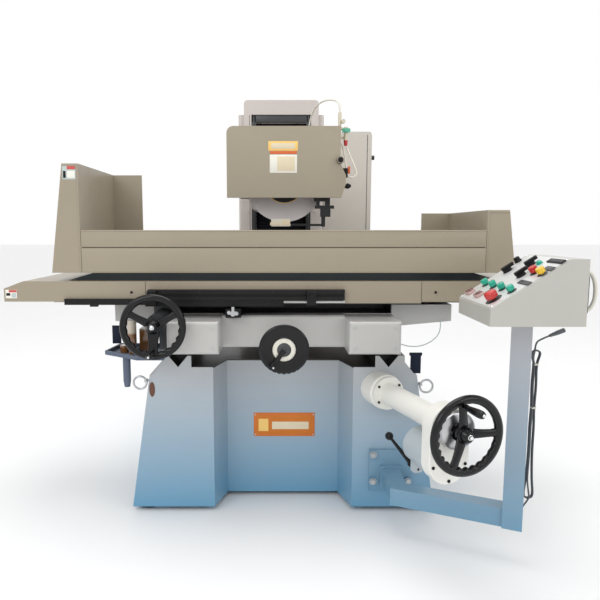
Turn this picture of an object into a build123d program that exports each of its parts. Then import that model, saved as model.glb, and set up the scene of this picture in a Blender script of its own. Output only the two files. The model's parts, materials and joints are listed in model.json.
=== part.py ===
from build123d import *
import os
from math import atan2, cos, degrees, hypot, radians, sin, tan

# Hydraulic surface grinder, modelled in millimetres.
# +X runs to the operator's right along the table, +Y away from the operator, +Z up.
# The origin is on the floor, at the centre of the four foundation bolts.

os.makedirs("parts", exist_ok=True)

# ---- driving dimensions -------------------------------------------------------------
# base casting
FOOT_HALF = 615.0
SHOULDER_HALF = 533.0
BED_HALF = 483.0
BASE_FRONT = -600.0
BASE_REAR = 870.0
REAR_SECTION_Y = 600.0
REAR_FOOT_HALF = 430.0
REAR_TOP_HALF = 400.0
PAD_HEIGHT = 20.0
SHOULDER_Z = 572.0
BED_Z = 650.0
BED_CHANNEL_Z = 604.0
BED_CHANNEL_HALF = 366.0
CASTING_WALL = 32.0
LEG_INNER = 280.0
RECESS_HALF = 236.0
RECESS_DEPTH = 140.0
WAY_X = 419.0
WAY_HALF = 38.0
WAY_DEPTH = 46.0
SLIDE_GAP = 0.5
BOLT_X = 1120.0
BOLT_Y = 1040.0
BOLT_HOLE_R = 11.0

# saddle and its cross feed
SADDLE_FRONT = -560.0
SADDLE_REAR = -126.0
SADDLE_NOSE = 60.0
SADDLE_HALF = 673.0
SADDLE_BOTTOM = 689.0
SADDLE_TOP = 850.0
SADDLE_LEDGE_Z = 815.0
SADDLE_LEDGE_Y = -404.0
WING_ROOT_Z = 762.0
WING_TIP_Z = 784.0
BLOCK_INNER = 240.0
BLOCK_OUTER = 433.0
BLOCK_REACH = 200.0
BLOCK_TOP = 812.0
CROSS_Z = 716.0
CROSS_SCREW_R = 16.0
CROSS_SCREW_REAR = 10.0
CROSS_NUT_Y = -140.0
CROSS_WHEEL_R = 92.0
CROSS_WHEEL_Y = -792.0
RUN_GAP = 0.05

# table, covers and chuck
TABLE_BOTTOM = 865.0
TABLE_TOP = 951.0
TABLE_DECK = 984.0
TABLE_HALF = 900.0
DECK_HALF = TABLE_HALF - 60
DECK_TOP_HALF = TABLE_HALF - 170
TABLE_FRONT = -600.0
TABLE_REAR = -110.0
APRON_FRONT = -640.0
APRON_HALF = 531.0
COVER_END = TABLE_HALF + 176
SHEET = 4.0
TABLE_WAY_Y = -345.0
TABLE_WAY_HALF = 30.0
TABLE_WAY_DEPTH = 34.0
FLAT_WAY_Y = -180.0
FLAT_WAY_HALF = 45.0
CYLINDER_Y = -255.0
CYLINDER_Z = 895.0
CYLINDER_R = 22.0
CYLINDER_BORE_R = 17.0
CYLINDER_HALF = TABLE_HALF - 455
CYLINDER_CAP = 20.0
ROD_R = 10.0
ROD_ANCHOR = TABLE_HALF - 45
CHUCK_HALF = 400.0
CHUCK_FRONT = -515.0
CHUCK_DEPTH = 400.0
CHUCK_HEIGHT = 62.0

# splash guard on the table
GUARD_INNER = TABLE_HALF - 130
GUARD_TOP_OUTER = TABLE_HALF - 70
GUARD_FOOT_OUTER = TABLE_HALF - 17
GUARD_FRONT = -650.0
GUARD_BACK = -162.0
GUARD_FRONT_TOP = 1146.0
GUARD_LEFT_TOP = 1393.0
GUARD_RIGHT_TOP = 1221.0
GUARD_RETURN = GUARD_INNER - 129

# table handwheel
TABLE_WHEEL = (-472.0, -803.0, 800.0)
TABLE_WHEEL_R = 120.0
TABLE_GRIP_RING = 92.0

# column
COLUMN_HALF = 227.0
COLUMN_FRONT = 300.0
COLUMN_REAR = 800.0
COLUMN_TOP = 1748.0
COLUMN_WALL = 34.0
OPENING_HALF = 157.0
OPENING_BOTTOM = 800.0
OPENING_TOP = COLUMN_TOP - 3
FRAME_HALF = 196.0
FRAME_TOP = COLUMN_TOP + 71
FRAME_THICK = 26.0

# wheel head
WHEEL_X = 9.0
WHEEL_Z = 1357.0
WHEEL_R = 175.0
WHEEL_BORE_R = 63.5
WHEEL_FRONT = -196.0
WHEEL_WIDTH = 40.0
HEAD_HALF = 145.0
HEAD_FRONT = -90.0
HEAD_REAR = 420.0
HEAD_BELOW = 117.0
HEAD_ABOVE = 120.0
SPINDLE_R = 45.0
NOSE_R = 30.0
SHELL_HALF = 205.0
SHELL_BACK = -100.0
SHELL_FRONT = -258.0
DOOR_LEFT = -242.0
DOOR_RIGHT = 275.0
DOOR_BOTTOM = 1286.0
DOOR_TOP = 1589.0
DOOR_FRONT = -300.0
DOOR_BACK = -262.0
LIFT_SCREW_R = 14.0
LIFT_SCREW_X = 160.0
LIFT_SCREW_Y = 470.0
SCREW_SEAT = 20.0

# electrical cabinet on the column's right side
CABINET_LEFT = 229.0
CABINET_RIGHT = 482.0
CABINET_FRONT = 310.0
CABINET_REAR = 600.0
CABINET_BOTTOM = 700.0
CABINET_TOP = 1664.0

# vertical feed unit: its shaft leans to the right of straight ahead
FEED_LEAN = 18.0
FEED_WHEEL = (558.0, -1138.0, 518.0)
FEED_WHEEL_R = 130.0
FEED_GRIP_RING = 99.0
FEED_CASE_FACE = -85.0
FEED_CASE_THICK = 49.0
FEED_CASE_R = 74.0
FEED_CASE_DROP = 120.0
FEED_TUBE_R = 42.0
FEED_BOSS_R = 69.0
FEED_BOSS_LENGTH = 62.0
FEED_MOTOR_R = 64.0
FEED_MOTOR_LENGTH = 140.0
FEED_SHAFT_R = 12.0

# console, its arm and its post
ARM_SIZE = 65.0
ARM_BOTTOM = 130.0
ARM_X = 432.5
ARM_CORNER_Y = -809.0
POST_X = 787.0
POST_Y = -960.0
ARM_LEAN = 24.3
CONSOLE_LEFT = 615.0
CONSOLE_RIGHT = 907.0
CONSOLE_NEAR = -1131.0
CONSOLE_FAR = -828.0
CONSOLE_BOTTOM = 857.0
CONSOLE_LIP = 53.0
CONSOLE_TOP = 1061.0
CONSOLE_FLAT = 58.0
PANEL_THICK = 3.0


# ---- small helpers ------------------------------------------------------------------
def block(x0, x1, y0, y1, z0, z1):
    """A rectangular block between two corners."""
    centre = Pos((x0 + x1) / 2, (y0 + y1) / 2, (z0 + z1) / 2)
    return centre * Box(x1 - x0, y1 - y0, z1 - z0)


def along_y(points, y0, y1):
    """An outline of (x, z) points, pushed along Y."""
    outline = make_face(Polyline([(x, y0, z) for x, z in points], close=True))
    return extrude(outline, amount=y1 - y0, dir=(0, 1, 0))


def along_x(points, x0, x1):
    """An outline of (y, z) points, pushed along X."""
    outline = make_face(Polyline([(x0, y, z) for y, z in points], close=True))
    return extrude(outline, amount=x1 - x0, dir=(1, 0, 0))


def along_z(points, z0, z1):
    """An outline of (x, y) points, pushed along Z."""
    outline = make_face(Polyline([(x, y, z0) for x, y in points], close=True))
    return extrude(outline, amount=z1 - z0, dir=(0, 0, 1))


def rod_x(y, z, r, x0, x1):
    return Pos((x0 + x1) / 2, y, z) * Rot(0, 90, 0) * Cylinder(r, x1 - x0)


def rod_y(x, z, r, y0, y1):
    return Pos(x, (y0 + y1) / 2, z) * Rot(90, 0, 0) * Cylinder(r, y1 - y0)


def rod_z(x, y, r, z0, z1):
    return Pos(x, y, (z0 + z1) / 2) * Cylinder(r, z1 - z0)


def mirrored(shape):
    """The shape with its mirror image across the machine's middle plane."""
    return [shape, mirror(shape, about=Plane.YZ)]


def write(name, *shapes):
    """Write one node's solids to its STEP file."""
    solids = [solid for shape in shapes for solid in shape.solids()]
    label = Compound(children=solids) if len(solids) > 1 else solids[0]
    export_step(label, f"parts/{name}.step")


def shaft_frame(centre, lean):
    """A frame whose Z is a shaft axis that points at the operator and leans to the right."""
    axis = (sin(radians(lean)), -cos(radians(lean)), 0)
    across = (cos(radians(lean)), sin(radians(lean)), 0)
    return Location(Plane(origin=centre, x_dir=across, z_dir=axis))


def handwheel(radius, rim, hub_r, hub_back, hub_front, spoke_angles, bore_r):
    """A spoked handwheel about local Z, with its rim in the plane z = 0."""
    ring_r = radius - rim
    profile = Plane.XZ * Pos(ring_r, 0) * RectangleRounded(2 * rim, 2 * rim, rim * 0.7)
    body = revolve(profile, axis=Axis.Z)
    body += Pos(0, 0, (hub_front - hub_back) / 2) * Cylinder(hub_r, hub_front + hub_back)
    for angle in spoke_angles:
        spoke = Pos(ring_r / 2, 0, 0) * Box(ring_r, rim * 1.3, rim)
        body += Rot(0, 0, angle) * spoke
    return body - Cylinder(bore_r, 4 * radius)


def on_circle(radius, angle):
    return radius * cos(radians(angle)), radius * sin(radians(angle))


def grip_hole(ring_r, angle):
    return Pos(*on_circle(ring_r, angle), 0) * Cylinder(GRIP_PIN_R + RUN_GAP, 400)


def grip(ring_r, angle, start, length, grip_r):
    """A turning grip: a barrel in front of the rim on a pin through it."""
    x, y = on_circle(ring_r, angle)
    barrel = Pos(x, y, start + length / 2) * Cylinder(grip_r, length)
    barrel = fillet(barrel.edges(), grip_r * 0.4)
    pin = Pos(x, y, (start - GRIP_PIN_BACK) / 2) * Cylinder(GRIP_PIN_R, start + GRIP_PIN_BACK)
    return barrel + pin


GRIP_PIN_R = 5.0
GRIP_PIN_BACK = 16.0


# ---- base ---------------------------------------------------------------------------
def base_casting():
    bottom = PAD_HEIGHT
    profile = [
        (-FOOT_HALF, bottom),
        (-SHOULDER_HALF, SHOULDER_Z),
        (-BED_HALF, SHOULDER_Z),
        (-BED_HALF, BED_Z),
        (-BED_CHANNEL_HALF, BED_Z),
        (-BED_CHANNEL_HALF, BED_CHANNEL_Z),
        (BED_CHANNEL_HALF, BED_CHANNEL_Z),
        (BED_CHANNEL_HALF, BED_Z),
        (BED_HALF, BED_Z),
        (BED_HALF, SHOULDER_Z),
        (SHOULDER_HALF, SHOULDER_Z),
        (FOOT_HALF, bottom),
    ]
    front = along_y(profile, BASE_FRONT, REAR_SECTION_Y)
    rear_profile = [
        (-REAR_FOOT_HALF, bottom),
        (-REAR_TOP_HALF, BED_Z),
        (REAR_TOP_HALF, BED_Z),
        (REAR_FOOT_HALF, bottom),
    ]
    body = front + along_y(rear_profile, COLUMN_FRONT - 12, BASE_REAR)
    recess_y = BASE_FRONT + RECESS_DEPTH
    body -= along_z(
        [
            (-LEG_INNER, BASE_FRONT - 1),
            (-RECESS_HALF, recess_y),
            (RECESS_HALF, recess_y),
            (LEG_INNER, BASE_FRONT - 1),
        ],
        bottom - 1,
        BED_Z + 1,
    )
    groove = [
        (WAY_X - WAY_HALF, BED_Z),
        (WAY_X, BED_Z - WAY_DEPTH),
        (WAY_X + WAY_HALF, BED_Z),
    ]
    for cut in mirrored(along_y(groove, BASE_FRONT - 1, COLUMN_FRONT - 12)):
        body -= cut
    gusset = [
        (SHOULDER_HALF - 8, SHOULDER_Z),
        (BED_HALF, SHOULDER_Z),
        (BED_HALF, BED_Z - 24),
    ]
    for rib in mirrored(along_y(gusset, BASE_FRONT, BASE_FRONT + 26)):
        body += rib
    body -= base_hollow(recess_y)
    for x in (-BOLT_X / 2, BOLT_X / 2):
        for y in (-BOLT_Y / 2, BOLT_Y / 2):
            body += bolt_ledge(x, y)
            body -= rod_z(x, y, BOLT_HOLE_R, 0, PAD_HEIGHT + 2 * CASTING_WALL)
    return body + cross_nut()


def bolt_ledge(x, y):
    """The thick corner inside the casting that a foundation bolt clamps."""
    half = 56.0
    side = 1 if x > 0 else -1
    low, high = sorted((x - side * half, side * (FOOT_HALF - CASTING_WALL)))
    front = max(y - half, BASE_FRONT + CASTING_WALL / 2)
    return block(low, high, front, y + half, PAD_HEIGHT, PAD_HEIGHT + CASTING_WALL)


def base_hollow(recess_y):
    """The space inside the casting, open at the floor."""
    wall = CASTING_WALL
    low = PAD_HEIGHT - 1
    roof = SHOULDER_Z - wall
    slope = (FOOT_HALF - SHOULDER_HALF) / (SHOULDER_Z - PAD_HEIGHT)
    foot = FOOT_HALF - wall
    high = foot - slope * (roof - low)
    hollow = along_y([(-foot, low), (-high, roof), (high, roof), (foot, low)], recess_y + wall, REAR_SECTION_Y - wall)
    inner = LEG_INNER + wall
    legs = along_y([(inner, low), (inner, roof), (high, roof), (foot, low)], BASE_FRONT + wall, recess_y + wall + 1)
    for leg in mirrored(legs):
        hollow += leg
    rear_half = REAR_TOP_HALF - wall
    hollow += block(-rear_half, rear_half, REAR_SECTION_Y - wall - 1, BASE_REAR - wall, low, roof)
    return hollow


def levelling_feet():
    """Four round pads under the foundation bolts."""
    feet = []
    for x in (-BOLT_X / 2, BOLT_X / 2):
        for y in (-BOLT_Y / 2, BOLT_Y / 2):
            pad = rod_z(x, y, 52, 0, PAD_HEIGHT)
            feet.append(pad - rod_z(x, y, BOLT_HOLE_R, -1, PAD_HEIGHT + 1))
    return feet


# ---- saddle -------------------------------------------------------------------------
def saddle_casting():
    outline = [
        (-SADDLE_HALF, WING_TIP_Z),
        (-BLOCK_OUTER, WING_ROOT_Z),
        (-BLOCK_OUTER, SADDLE_BOTTOM),
        (BLOCK_OUTER, SADDLE_BOTTOM),
        (BLOCK_OUTER, WING_ROOT_Z),
        (SADDLE_HALF, WING_TIP_Z),
        (SADDLE_HALF, SADDLE_TOP),
        (-SADDLE_HALF, SADDLE_TOP),
    ]
    body = along_y(outline, SADDLE_FRONT, SADDLE_REAR)
    body -= block(-BLOCK_OUTER, BLOCK_OUTER, SADDLE_FRONT - 1, SADDLE_LEDGE_Y, SADDLE_LEDGE_Z, SADDLE_TOP + 1)
    nose = block(
        -BLOCK_INNER, BLOCK_INNER, SADDLE_FRONT - SADDLE_NOSE, SADDLE_FRONT, SADDLE_BOTTOM - 2, SADDLE_LEDGE_Z
    )
    body += fillet(nose.edges().group_by(Axis.Y)[0].filter_by(Axis.X), 14)
    step = block(
        BLOCK_INNER, BLOCK_OUTER, SADDLE_FRONT - BLOCK_REACH, SADDLE_FRONT, SADDLE_BOTTOM, BLOCK_TOP
    )
    step = fillet(step.edges().group_by(Axis.Y)[0], 12)
    for half in mirrored(step):
        body += half
    body += rod_y(0, CROSS_Z, 38, CROSS_WHEEL_Y + 72, SADDLE_FRONT - SADDLE_NOSE)
    body -= block(-150, 150, SADDLE_FRONT - SADDLE_NOSE + 34, SADDLE_REAR + 1, SADDLE_BOTTOM - 3, 775)
    body -= rod_y(0, CROSS_Z, CROSS_SCREW_R + RUN_GAP, CROSS_WHEEL_Y, SADDLE_FRONT)
    rib = [
        (WAY_X - WAY_HALF, SADDLE_BOTTOM),
        (WAY_X - WAY_HALF, BED_Z + SLIDE_GAP),
        (WAY_X, BED_Z - WAY_DEPTH + SLIDE_GAP),
        (WAY_X + WAY_HALF, BED_Z + SLIDE_GAP),
        (WAY_X + WAY_HALF, SADDLE_BOTTOM),
    ]
    clear = SLIDE_GAP * WAY_HALF / WAY_DEPTH
    rib = [(x - clear if x > WAY_X else x + clear if x < WAY_X else x, z) for x, z in rib]
    for half in mirrored(along_y(rib, SADDLE_FRONT + 40, SADDLE_REAR)):
        body += half
    body += front_table_way()
    body += block(
        -SADDLE_HALF, SADDLE_HALF, FLAT_WAY_Y - FLAT_WAY_HALF, FLAT_WAY_Y + FLAT_WAY_HALF,
        SADDLE_TOP, TABLE_BOTTOM - SLIDE_GAP,
    )
    for x in (-380, 380):
        body += block(x - 30, x + 30, CYLINDER_Y - 20, CYLINDER_Y + 20, SADDLE_TOP, CYLINDER_Z)
    return body - rod_x(CYLINDER_Y, CYLINDER_Z, CYLINDER_R, -CYLINDER_HALF, CYLINDER_HALF)


def front_table_way():
    """The long rail with a V groove that guides the table."""
    top = TABLE_BOTTOM - SLIDE_GAP
    rail = block(-SADDLE_HALF, SADDLE_HALF, TABLE_WAY_Y - 50, TABLE_WAY_Y + 50, SADDLE_TOP, top)
    return rail


def table_way_groove():
    top = TABLE_BOTTOM - SLIDE_GAP
    groove = [
        (TABLE_WAY_Y - TABLE_WAY_HALF, top + 1),
        (TABLE_WAY_Y - TABLE_WAY_HALF, top),
        (TABLE_WAY_Y, top - TABLE_WAY_DEPTH),
        (TABLE_WAY_Y + TABLE_WAY_HALF, top),
        (TABLE_WAY_Y + TABLE_WAY_HALF, top + 1),
    ]
    return along_x(groove, -SADDLE_HALF - 1, SADDLE_HALF + 1)


def reversing_valve():
    """The pilot valve under the dog rail, with its two adjusting screws."""
    front = SADDLE_FRONT - 120
    body = block(-222, -163, front, SADDLE_FRONT - 8, SADDLE_LEDGE_Z, SADDLE_LEDGE_Z + 33)
    body = fillet(body.edges().group_by(Axis.Y)[0].filter_by(Axis.Z), 6)
    return body - rod_y(-192, SADDLE_LEDGE_Z + 17, 5 + RUN_GAP, front - 1, front + 30)


def reversing_lever():
    """The lever that the trip dogs push over."""
    front = SADDLE_FRONT - 120
    z = SADDLE_LEDGE_Z + 17
    hub = rod_y(-192, z, 10, front - 12, front - 0.5)
    pin = rod_y(-192, z, 5, front - 1, front + 28)
    arm = block(-197, -187, front - 11, front - 2, z, z + 26)
    knobs = rod_y(-206, z + 6, 7, front - 24, front - 2) + rod_y(-178, z + 2, 7, front - 20, front - 2)
    bar = block(-208, -176, front - 9, front - 3, z - 3, z + 9)
    return hub + pin + arm + knobs + bar


def drip_tray():
    """The oil tray under the table handwheel, with its drain spout."""
    z0, z1 = BED_Z + 2.0, BED_Z + 18.0
    right = -WAY_X - WAY_HALF - 3
    outline = [(-712, -585), (-560, -690), (right, -690), (right, -430), (-690, -430)]
    tray = along_z(outline, z0, z1)
    inner = [(-704, -581), (-557, -682), (right - 8, -682), (right - 8, -438), (-683, -438)]
    tray -= along_z(inner, z0 + 4, z1 + 1)
    tray += rod_z(-620, -610, 15, 552, z0)
    tray += Pos(-620, -610, 540) * Cone(11, 15, 24)
    tray -= rod_z(-620, -610, 9, 500, z0 + 5)
    strap_left = right - 22
    strap = [
        (strap_left, z0 + 2),
        (strap_left, wing_underside(strap_left)),
        (right, wing_underside(right)),
        (right, z0 + 2),
    ]
    return tray + along_y(strap, -556, -500)


def wing_underside(x):
    """Height of the wing's sloping underside at x."""
    share = (abs(x) - BLOCK_OUTER) / (SADDLE_HALF - BLOCK_OUTER)
    return WING_ROOT_Z + share * (WING_TIP_Z - WING_ROOT_Z)


def lubricator():
    """The one-shot oiler: its pump body, the clear cup and the filler cap on the tray."""
    floor = BED_Z + 6.0
    pump = block(-588, -536, -520, -440, floor, 745)
    pump += rod_z(-562, -480, 14, 745, 758)
    cup = rod_z(-601, -590, 18, floor + 44, floor + 136) + rod_z(-601, -590, 12, floor, floor + 44)
    cap = rod_z(-640, -560, 17, floor, floor + 30)
    return [pump, fillet(cup.edges().group_by(Axis.Z)[-1], 3), cap]


def wheel_bracket():
    """The pinion housing that carries the table handwheel's shaft."""
    x, y, z = TABLE_WHEEL
    body = rod_y(x, z, 38, y + 60, SADDLE_FRONT)
    body += block(x - 42, x + 36, SADDLE_FRONT - 16, SADDLE_FRONT, 765, 845)
    body += block(x + 4, x + 34, y + 90, SADDLE_FRONT, 700, z)
    return body - rod_y(x, z, 14 + RUN_GAP, y, SADDLE_FRONT + 1)


def table_wheel():
    """The table handwheel with its shaft."""
    x, y, z = TABLE_WHEEL
    spokes = (30, 150, 270)
    wheel = handwheel(TABLE_WHEEL_R, 13.5, 27, 30, 22, spokes, 6)
    wheel -= grip_hole(TABLE_GRIP_RING, 270)
    wheel += Pos(0, 0, -135) * Cylinder(14, 210)
    wheel += Cylinder(9, 40)
    return shaft_frame(TABLE_WHEEL, 0) * wheel


def table_grip():
    return shaft_frame(TABLE_WHEEL, 0) * grip(TABLE_GRIP_RING, 270, 15, 75, 12)


def cross_wheel():
    """The cross feed handwheel: a solid black disc with its dial behind it."""
    disc = Cylinder(CROSS_WHEEL_R, 14)
    disc = fillet(disc.edges(), 6)
    disc += Pos(0, 0, 3) * Cylinder(24, 26)
    disc += Pos(0, 0, -38) * Cylinder(46, 60)
    disc -= Pos(*on_circle(68, 235), 0) * Cylinder(GRIP_PIN_R + RUN_GAP, 60)
    wheel = disc - Cylinder(CROSS_SCREW_R, 400)
    return shaft_frame((0, CROSS_WHEEL_Y, CROSS_Z), 0) * wheel


def cross_grip():
    """The small turning grip on the cross feed handwheel."""
    return shaft_frame((0, CROSS_WHEEL_Y, CROSS_Z), 0) * grip(68, 235, 9, 46, 9)


def cross_screw():
    return rod_y(0, CROSS_Z, CROSS_SCREW_R, CROSS_WHEEL_Y - 12, CROSS_SCREW_REAR)


def cross_nut():
    """The nut bracket that stands in the base and pulls the saddle along the screw."""
    low = BED_CHANNEL_Z
    body = block(-70, 70, CROSS_NUT_Y - 30, CROSS_NUT_Y + 30, low, low + 30)
    body += block(-42, 42, CROSS_NUT_Y - 22, CROSS_NUT_Y + 22, low, CROSS_Z + 40)
    return body - rod_y(0, CROSS_Z, CROSS_SCREW_R + RUN_GAP, CROSS_NUT_Y - 60, CROSS_NUT_Y + 60)


# ---- table --------------------------------------------------------------------------
def table_casting():
    body = block(-TABLE_HALF, TABLE_HALF, TABLE_FRONT, TABLE_REAR, TABLE_BOTTOM, TABLE_TOP - SHEET - 1)
    body += block(-DECK_HALF, DECK_HALF, TABLE_FRONT, TABLE_REAR, TABLE_TOP - SHEET - 1, TABLE_TOP)
    deck = [
        (-DECK_HALF, TABLE_TOP),
        (-DECK_TOP_HALF, TABLE_DECK),
        (DECK_TOP_HALF, TABLE_DECK),
        (DECK_HALF, TABLE_TOP),
    ]
    body += along_y(deck, TABLE_FRONT, TABLE_REAR)
    half = APRON_HALF - 0.5
    body += block(-half, half, APRON_FRONT, TABLE_FRONT, TABLE_BOTTOM - 2, TABLE_TOP)
    ridge = [
        (TABLE_WAY_Y - TABLE_WAY_HALF, TABLE_BOTTOM + 1),
        (TABLE_WAY_Y - TABLE_WAY_HALF, TABLE_BOTTOM),
        (TABLE_WAY_Y, TABLE_BOTTOM - TABLE_WAY_DEPTH),
        (TABLE_WAY_Y + TABLE_WAY_HALF, TABLE_BOTTOM),
        (TABLE_WAY_Y + TABLE_WAY_HALF, TABLE_BOTTOM + 1),
    ]
    body += along_x(ridge, -TABLE_HALF, TABLE_HALF)
    channel = CYLINDER_R + 6
    body -= block(
        -ROD_ANCHOR, ROD_ANCHOR, CYLINDER_Y - channel, CYLINDER_Y + channel, TABLE_BOTTOM - 1, CYLINDER_Z + channel
    )
    body -= rod_x(CYLINDER_Y, CYLINDER_Z, ROD_R, -TABLE_HALF - 1, TABLE_HALF + 1)
    return body


def table_covers():
    """Folded sheet covers that carry the table's ends on over the saddle ways."""
    top = TABLE_TOP
    low = TABLE_BOTTOM + 7
    front = block(APRON_HALF, COVER_END, APRON_FRONT, APRON_FRONT + SHEET, low, top)
    corner = along_y(
        [(COVER_END - 78, top + 1), (COVER_END + 1, top + 1), (COVER_END + 1, top - 29)],
        APRON_FRONT - 1,
        APRON_FRONT + SHEET + 1,
    )
    front -= corner
    cover = front + block(APRON_HALF, DECK_HALF - 5, APRON_FRONT, TABLE_FRONT, top - SHEET, top)
    rear = TABLE_REAR + 6
    cover += block(TABLE_HALF + 1, COVER_END - 78, APRON_FRONT, rear, top - SHEET, top)
    cover += block(DECK_HALF - 5, TABLE_HALF + 1, APRON_FRONT, TABLE_FRONT, top - SHEET, top)
    cover += block(DECK_HALF, TABLE_HALF + 1, TABLE_FRONT, rear, top - SHEET, top)
    slope = [
        (COVER_END - 78, top - SHEET),
        (COVER_END - 78, top),
        (COVER_END, top - 29),
        (COVER_END, top - 29 - SHEET),
    ]
    cover += along_y(slope, APRON_FRONT, rear)
    cover += block(COVER_END - SHEET, COVER_END, APRON_FRONT, rear, low, top - 29 - 1)
    cover += block(TABLE_HALF + 1, COVER_END, rear - SHEET, rear, low, top - 29 - SHEET)
    return mirrored(cover)


def chuck():
    """The magnetic chuck with the rows of its pole strips cut as shallow grooves."""
    low = TABLE_DECK
    body = block(
        -CHUCK_HALF, CHUCK_HALF, CHUCK_FRONT, CHUCK_FRONT + CHUCK_DEPTH, low, low + CHUCK_HEIGHT
    )
    body -= block(
        -CHUCK_HALF - 1, CHUCK_HALF + 1, CHUCK_FRONT - 1, CHUCK_FRONT + 12, low + 22, low + 36
    )
    back = CHUCK_FRONT + CHUCK_DEPTH
    return body - block(-CHUCK_HALF - 1, CHUCK_HALF + 1, back - 12, back + 1, low + 22, low + 36)


def splash_guard():
    low = TABLE_DECK
    front = GUARD_FRONT
    guard = block(-GUARD_INNER, GUARD_INNER, front, front + SHEET, low, GUARD_FRONT_TOP)
    guard += block(-GUARD_INNER, GUARD_INNER, front, front + 22, GUARD_FRONT_TOP - SHEET, GUARD_FRONT_TOP)
    guard += block(-GUARD_FOOT_OUTER, GUARD_FOOT_OUTER, front, front + 90, low, low + SHEET)
    guard += side_wing(GUARD_RIGHT_TOP)
    return guard + mirror(side_wing(GUARD_LEFT_TOP), about=Plane.YZ)


def side_wing(top):
    """One end of the splash guard: side wall, flared front flange and rear return panel."""
    low = TABLE_DECK
    fall = (GUARD_FOOT_OUTER - GUARD_TOP_OUTER) / (GUARD_LEFT_TOP - low)
    outer = GUARD_FOOT_OUTER - fall * (top - low)
    flange = [
        (GUARD_INNER, low),
        (GUARD_FOOT_OUTER, low),
        (outer, top),
        (GUARD_INNER, top),
    ]
    wing = along_y(flange, GUARD_FRONT, GUARD_FRONT + SHEET)
    wing += block(GUARD_INNER, GUARD_INNER + SHEET, GUARD_FRONT, GUARD_BACK, low, top)
    wing += block(GUARD_RETURN, GUARD_INNER + SHEET, GUARD_BACK - SHEET, GUARD_BACK, low, top)
    wing += along_y([(GUARD_INNER, top - SHEET), (outer, top - SHEET), (outer, top), (GUARD_INNER, top)],
                    GUARD_FRONT, GUARD_BACK)
    outer_skin = [
        (GUARD_FOOT_OUTER - SHEET, low),
        (GUARD_FOOT_OUTER, low),
        (outer, top),
        (outer - SHEET, top),
    ]
    wing += along_y(outer_skin, GUARD_FRONT, GUARD_BACK)
    wing += block(GUARD_INNER, GUARD_FOOT_OUTER - SHEET, GUARD_FRONT, GUARD_BACK, low, low + SHEET)
    return wing


def dog_rails():
    """The T-slotted dog rail, the rack bar below it and the stop rod, bolted to the table."""
    front = APRON_FRONT
    rail = block(-518, 233, front - 25, front, 881, 920)
    rail -= block(-519, 234, front - 26, front - 17, 895, 905)
    bar = block(-530, 0, front - 15, front, 855, 880)
    rod = rod_x(front - 10, 873, 5, 0, 235)
    tail = block(-840, -531.5, front - 15, front, 861, 884)
    return [rail + bar + rod, tail]


def trip_dog(x):
    """A stop block that clamps on the dog rail."""
    front = APRON_FRONT - 25
    dog = block(x - 17, x + 17, front - 22, front - 0.5, 862, 918)
    dog = fillet(dog.edges().filter_by(Axis.X), 3)
    dog += block(x - 9, x + 9, front - 1, front + 6, 896, 904)
    dog += rod_y(x, 900, 8, front - 32, front - 20)
    return dog


def table_cylinder():
    """The hydraulic cylinder, hollow, with a sealed cap at each end."""
    tube = rod_x(CYLINDER_Y, CYLINDER_Z, CYLINDER_R, -CYLINDER_HALF, CYLINDER_HALF)
    inside = CYLINDER_HALF - CYLINDER_CAP
    tube -= rod_x(CYLINDER_Y, CYLINDER_Z, CYLINDER_BORE_R, -inside, inside)
    return tube - rod_x(CYLINDER_Y, CYLINDER_Z, ROD_R + RUN_GAP, -CYLINDER_HALF - 1, CYLINDER_HALF + 1)


def piston_rod():
    rod = rod_x(CYLINDER_Y, CYLINDER_Z, ROD_R, -TABLE_HALF, TABLE_HALF)
    return rod + rod_x(CYLINDER_Y, CYLINDER_Z, CYLINDER_BORE_R - RUN_GAP, -15, 15)


# ---- column and wheel head ----------------------------------------------------------
def column():
    body = block(-COLUMN_HALF, COLUMN_HALF, COLUMN_FRONT, COLUMN_REAR, BED_Z, COLUMN_TOP)
    body = fillet(body.edges().filter_by(Axis.Z), 16)
    wall = COLUMN_WALL
    body -= block(
        -COLUMN_HALF + wall, COLUMN_HALF - wall, COLUMN_FRONT + 40, COLUMN_REAR - wall,
        BED_Z + wall, COLUMN_TOP - wall,
    )
    body -= block(
        -OPENING_HALF, OPENING_HALF, COLUMN_FRONT - 1, COLUMN_FRONT + 41, OPENING_BOTTOM, OPENING_TOP - 40
    )
    seat = BED_Z + COLUMN_WALL - SCREW_SEAT
    body -= rod_z(LIFT_SCREW_X, LIFT_SCREW_Y, LIFT_SCREW_R + RUN_GAP, seat, seat + 2 * SCREW_SEAT)
    clear = CROSS_SCREW_R + 12
    body -= rod_y(0, CROSS_Z, clear, COLUMN_FRONT - 1, COLUMN_FRONT + 41)
    return body


def column_frame():
    """The light frame on the column's face that surrounds the head's opening."""
    y0, y1 = COLUMN_FRONT - FRAME_THICK, COLUMN_FRONT
    frame = block(-FRAME_HALF, FRAME_HALF, y0, y1, OPENING_BOTTOM - 30, COLUMN_TOP)
    frame += block(-FRAME_HALF, FRAME_HALF, y0, COLUMN_REAR - 120, COLUMN_TOP, FRAME_TOP)
    frame = fillet(frame.edges().filter_by(Axis.Y).group_by(Axis.Z)[-1], 20)
    return frame - block(-OPENING_HALF, OPENING_HALF, y0 - 1, y1 + 1, OPENING_BOTTOM, OPENING_TOP)


def bellows(z0, z1):
    """A closed envelope of the pleated cover over the column's opening."""
    y = COLUMN_FRONT + 4
    return block(-OPENING_HALF + 22, OPENING_HALF - 22, y, y + 26, z0, z1)


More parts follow.
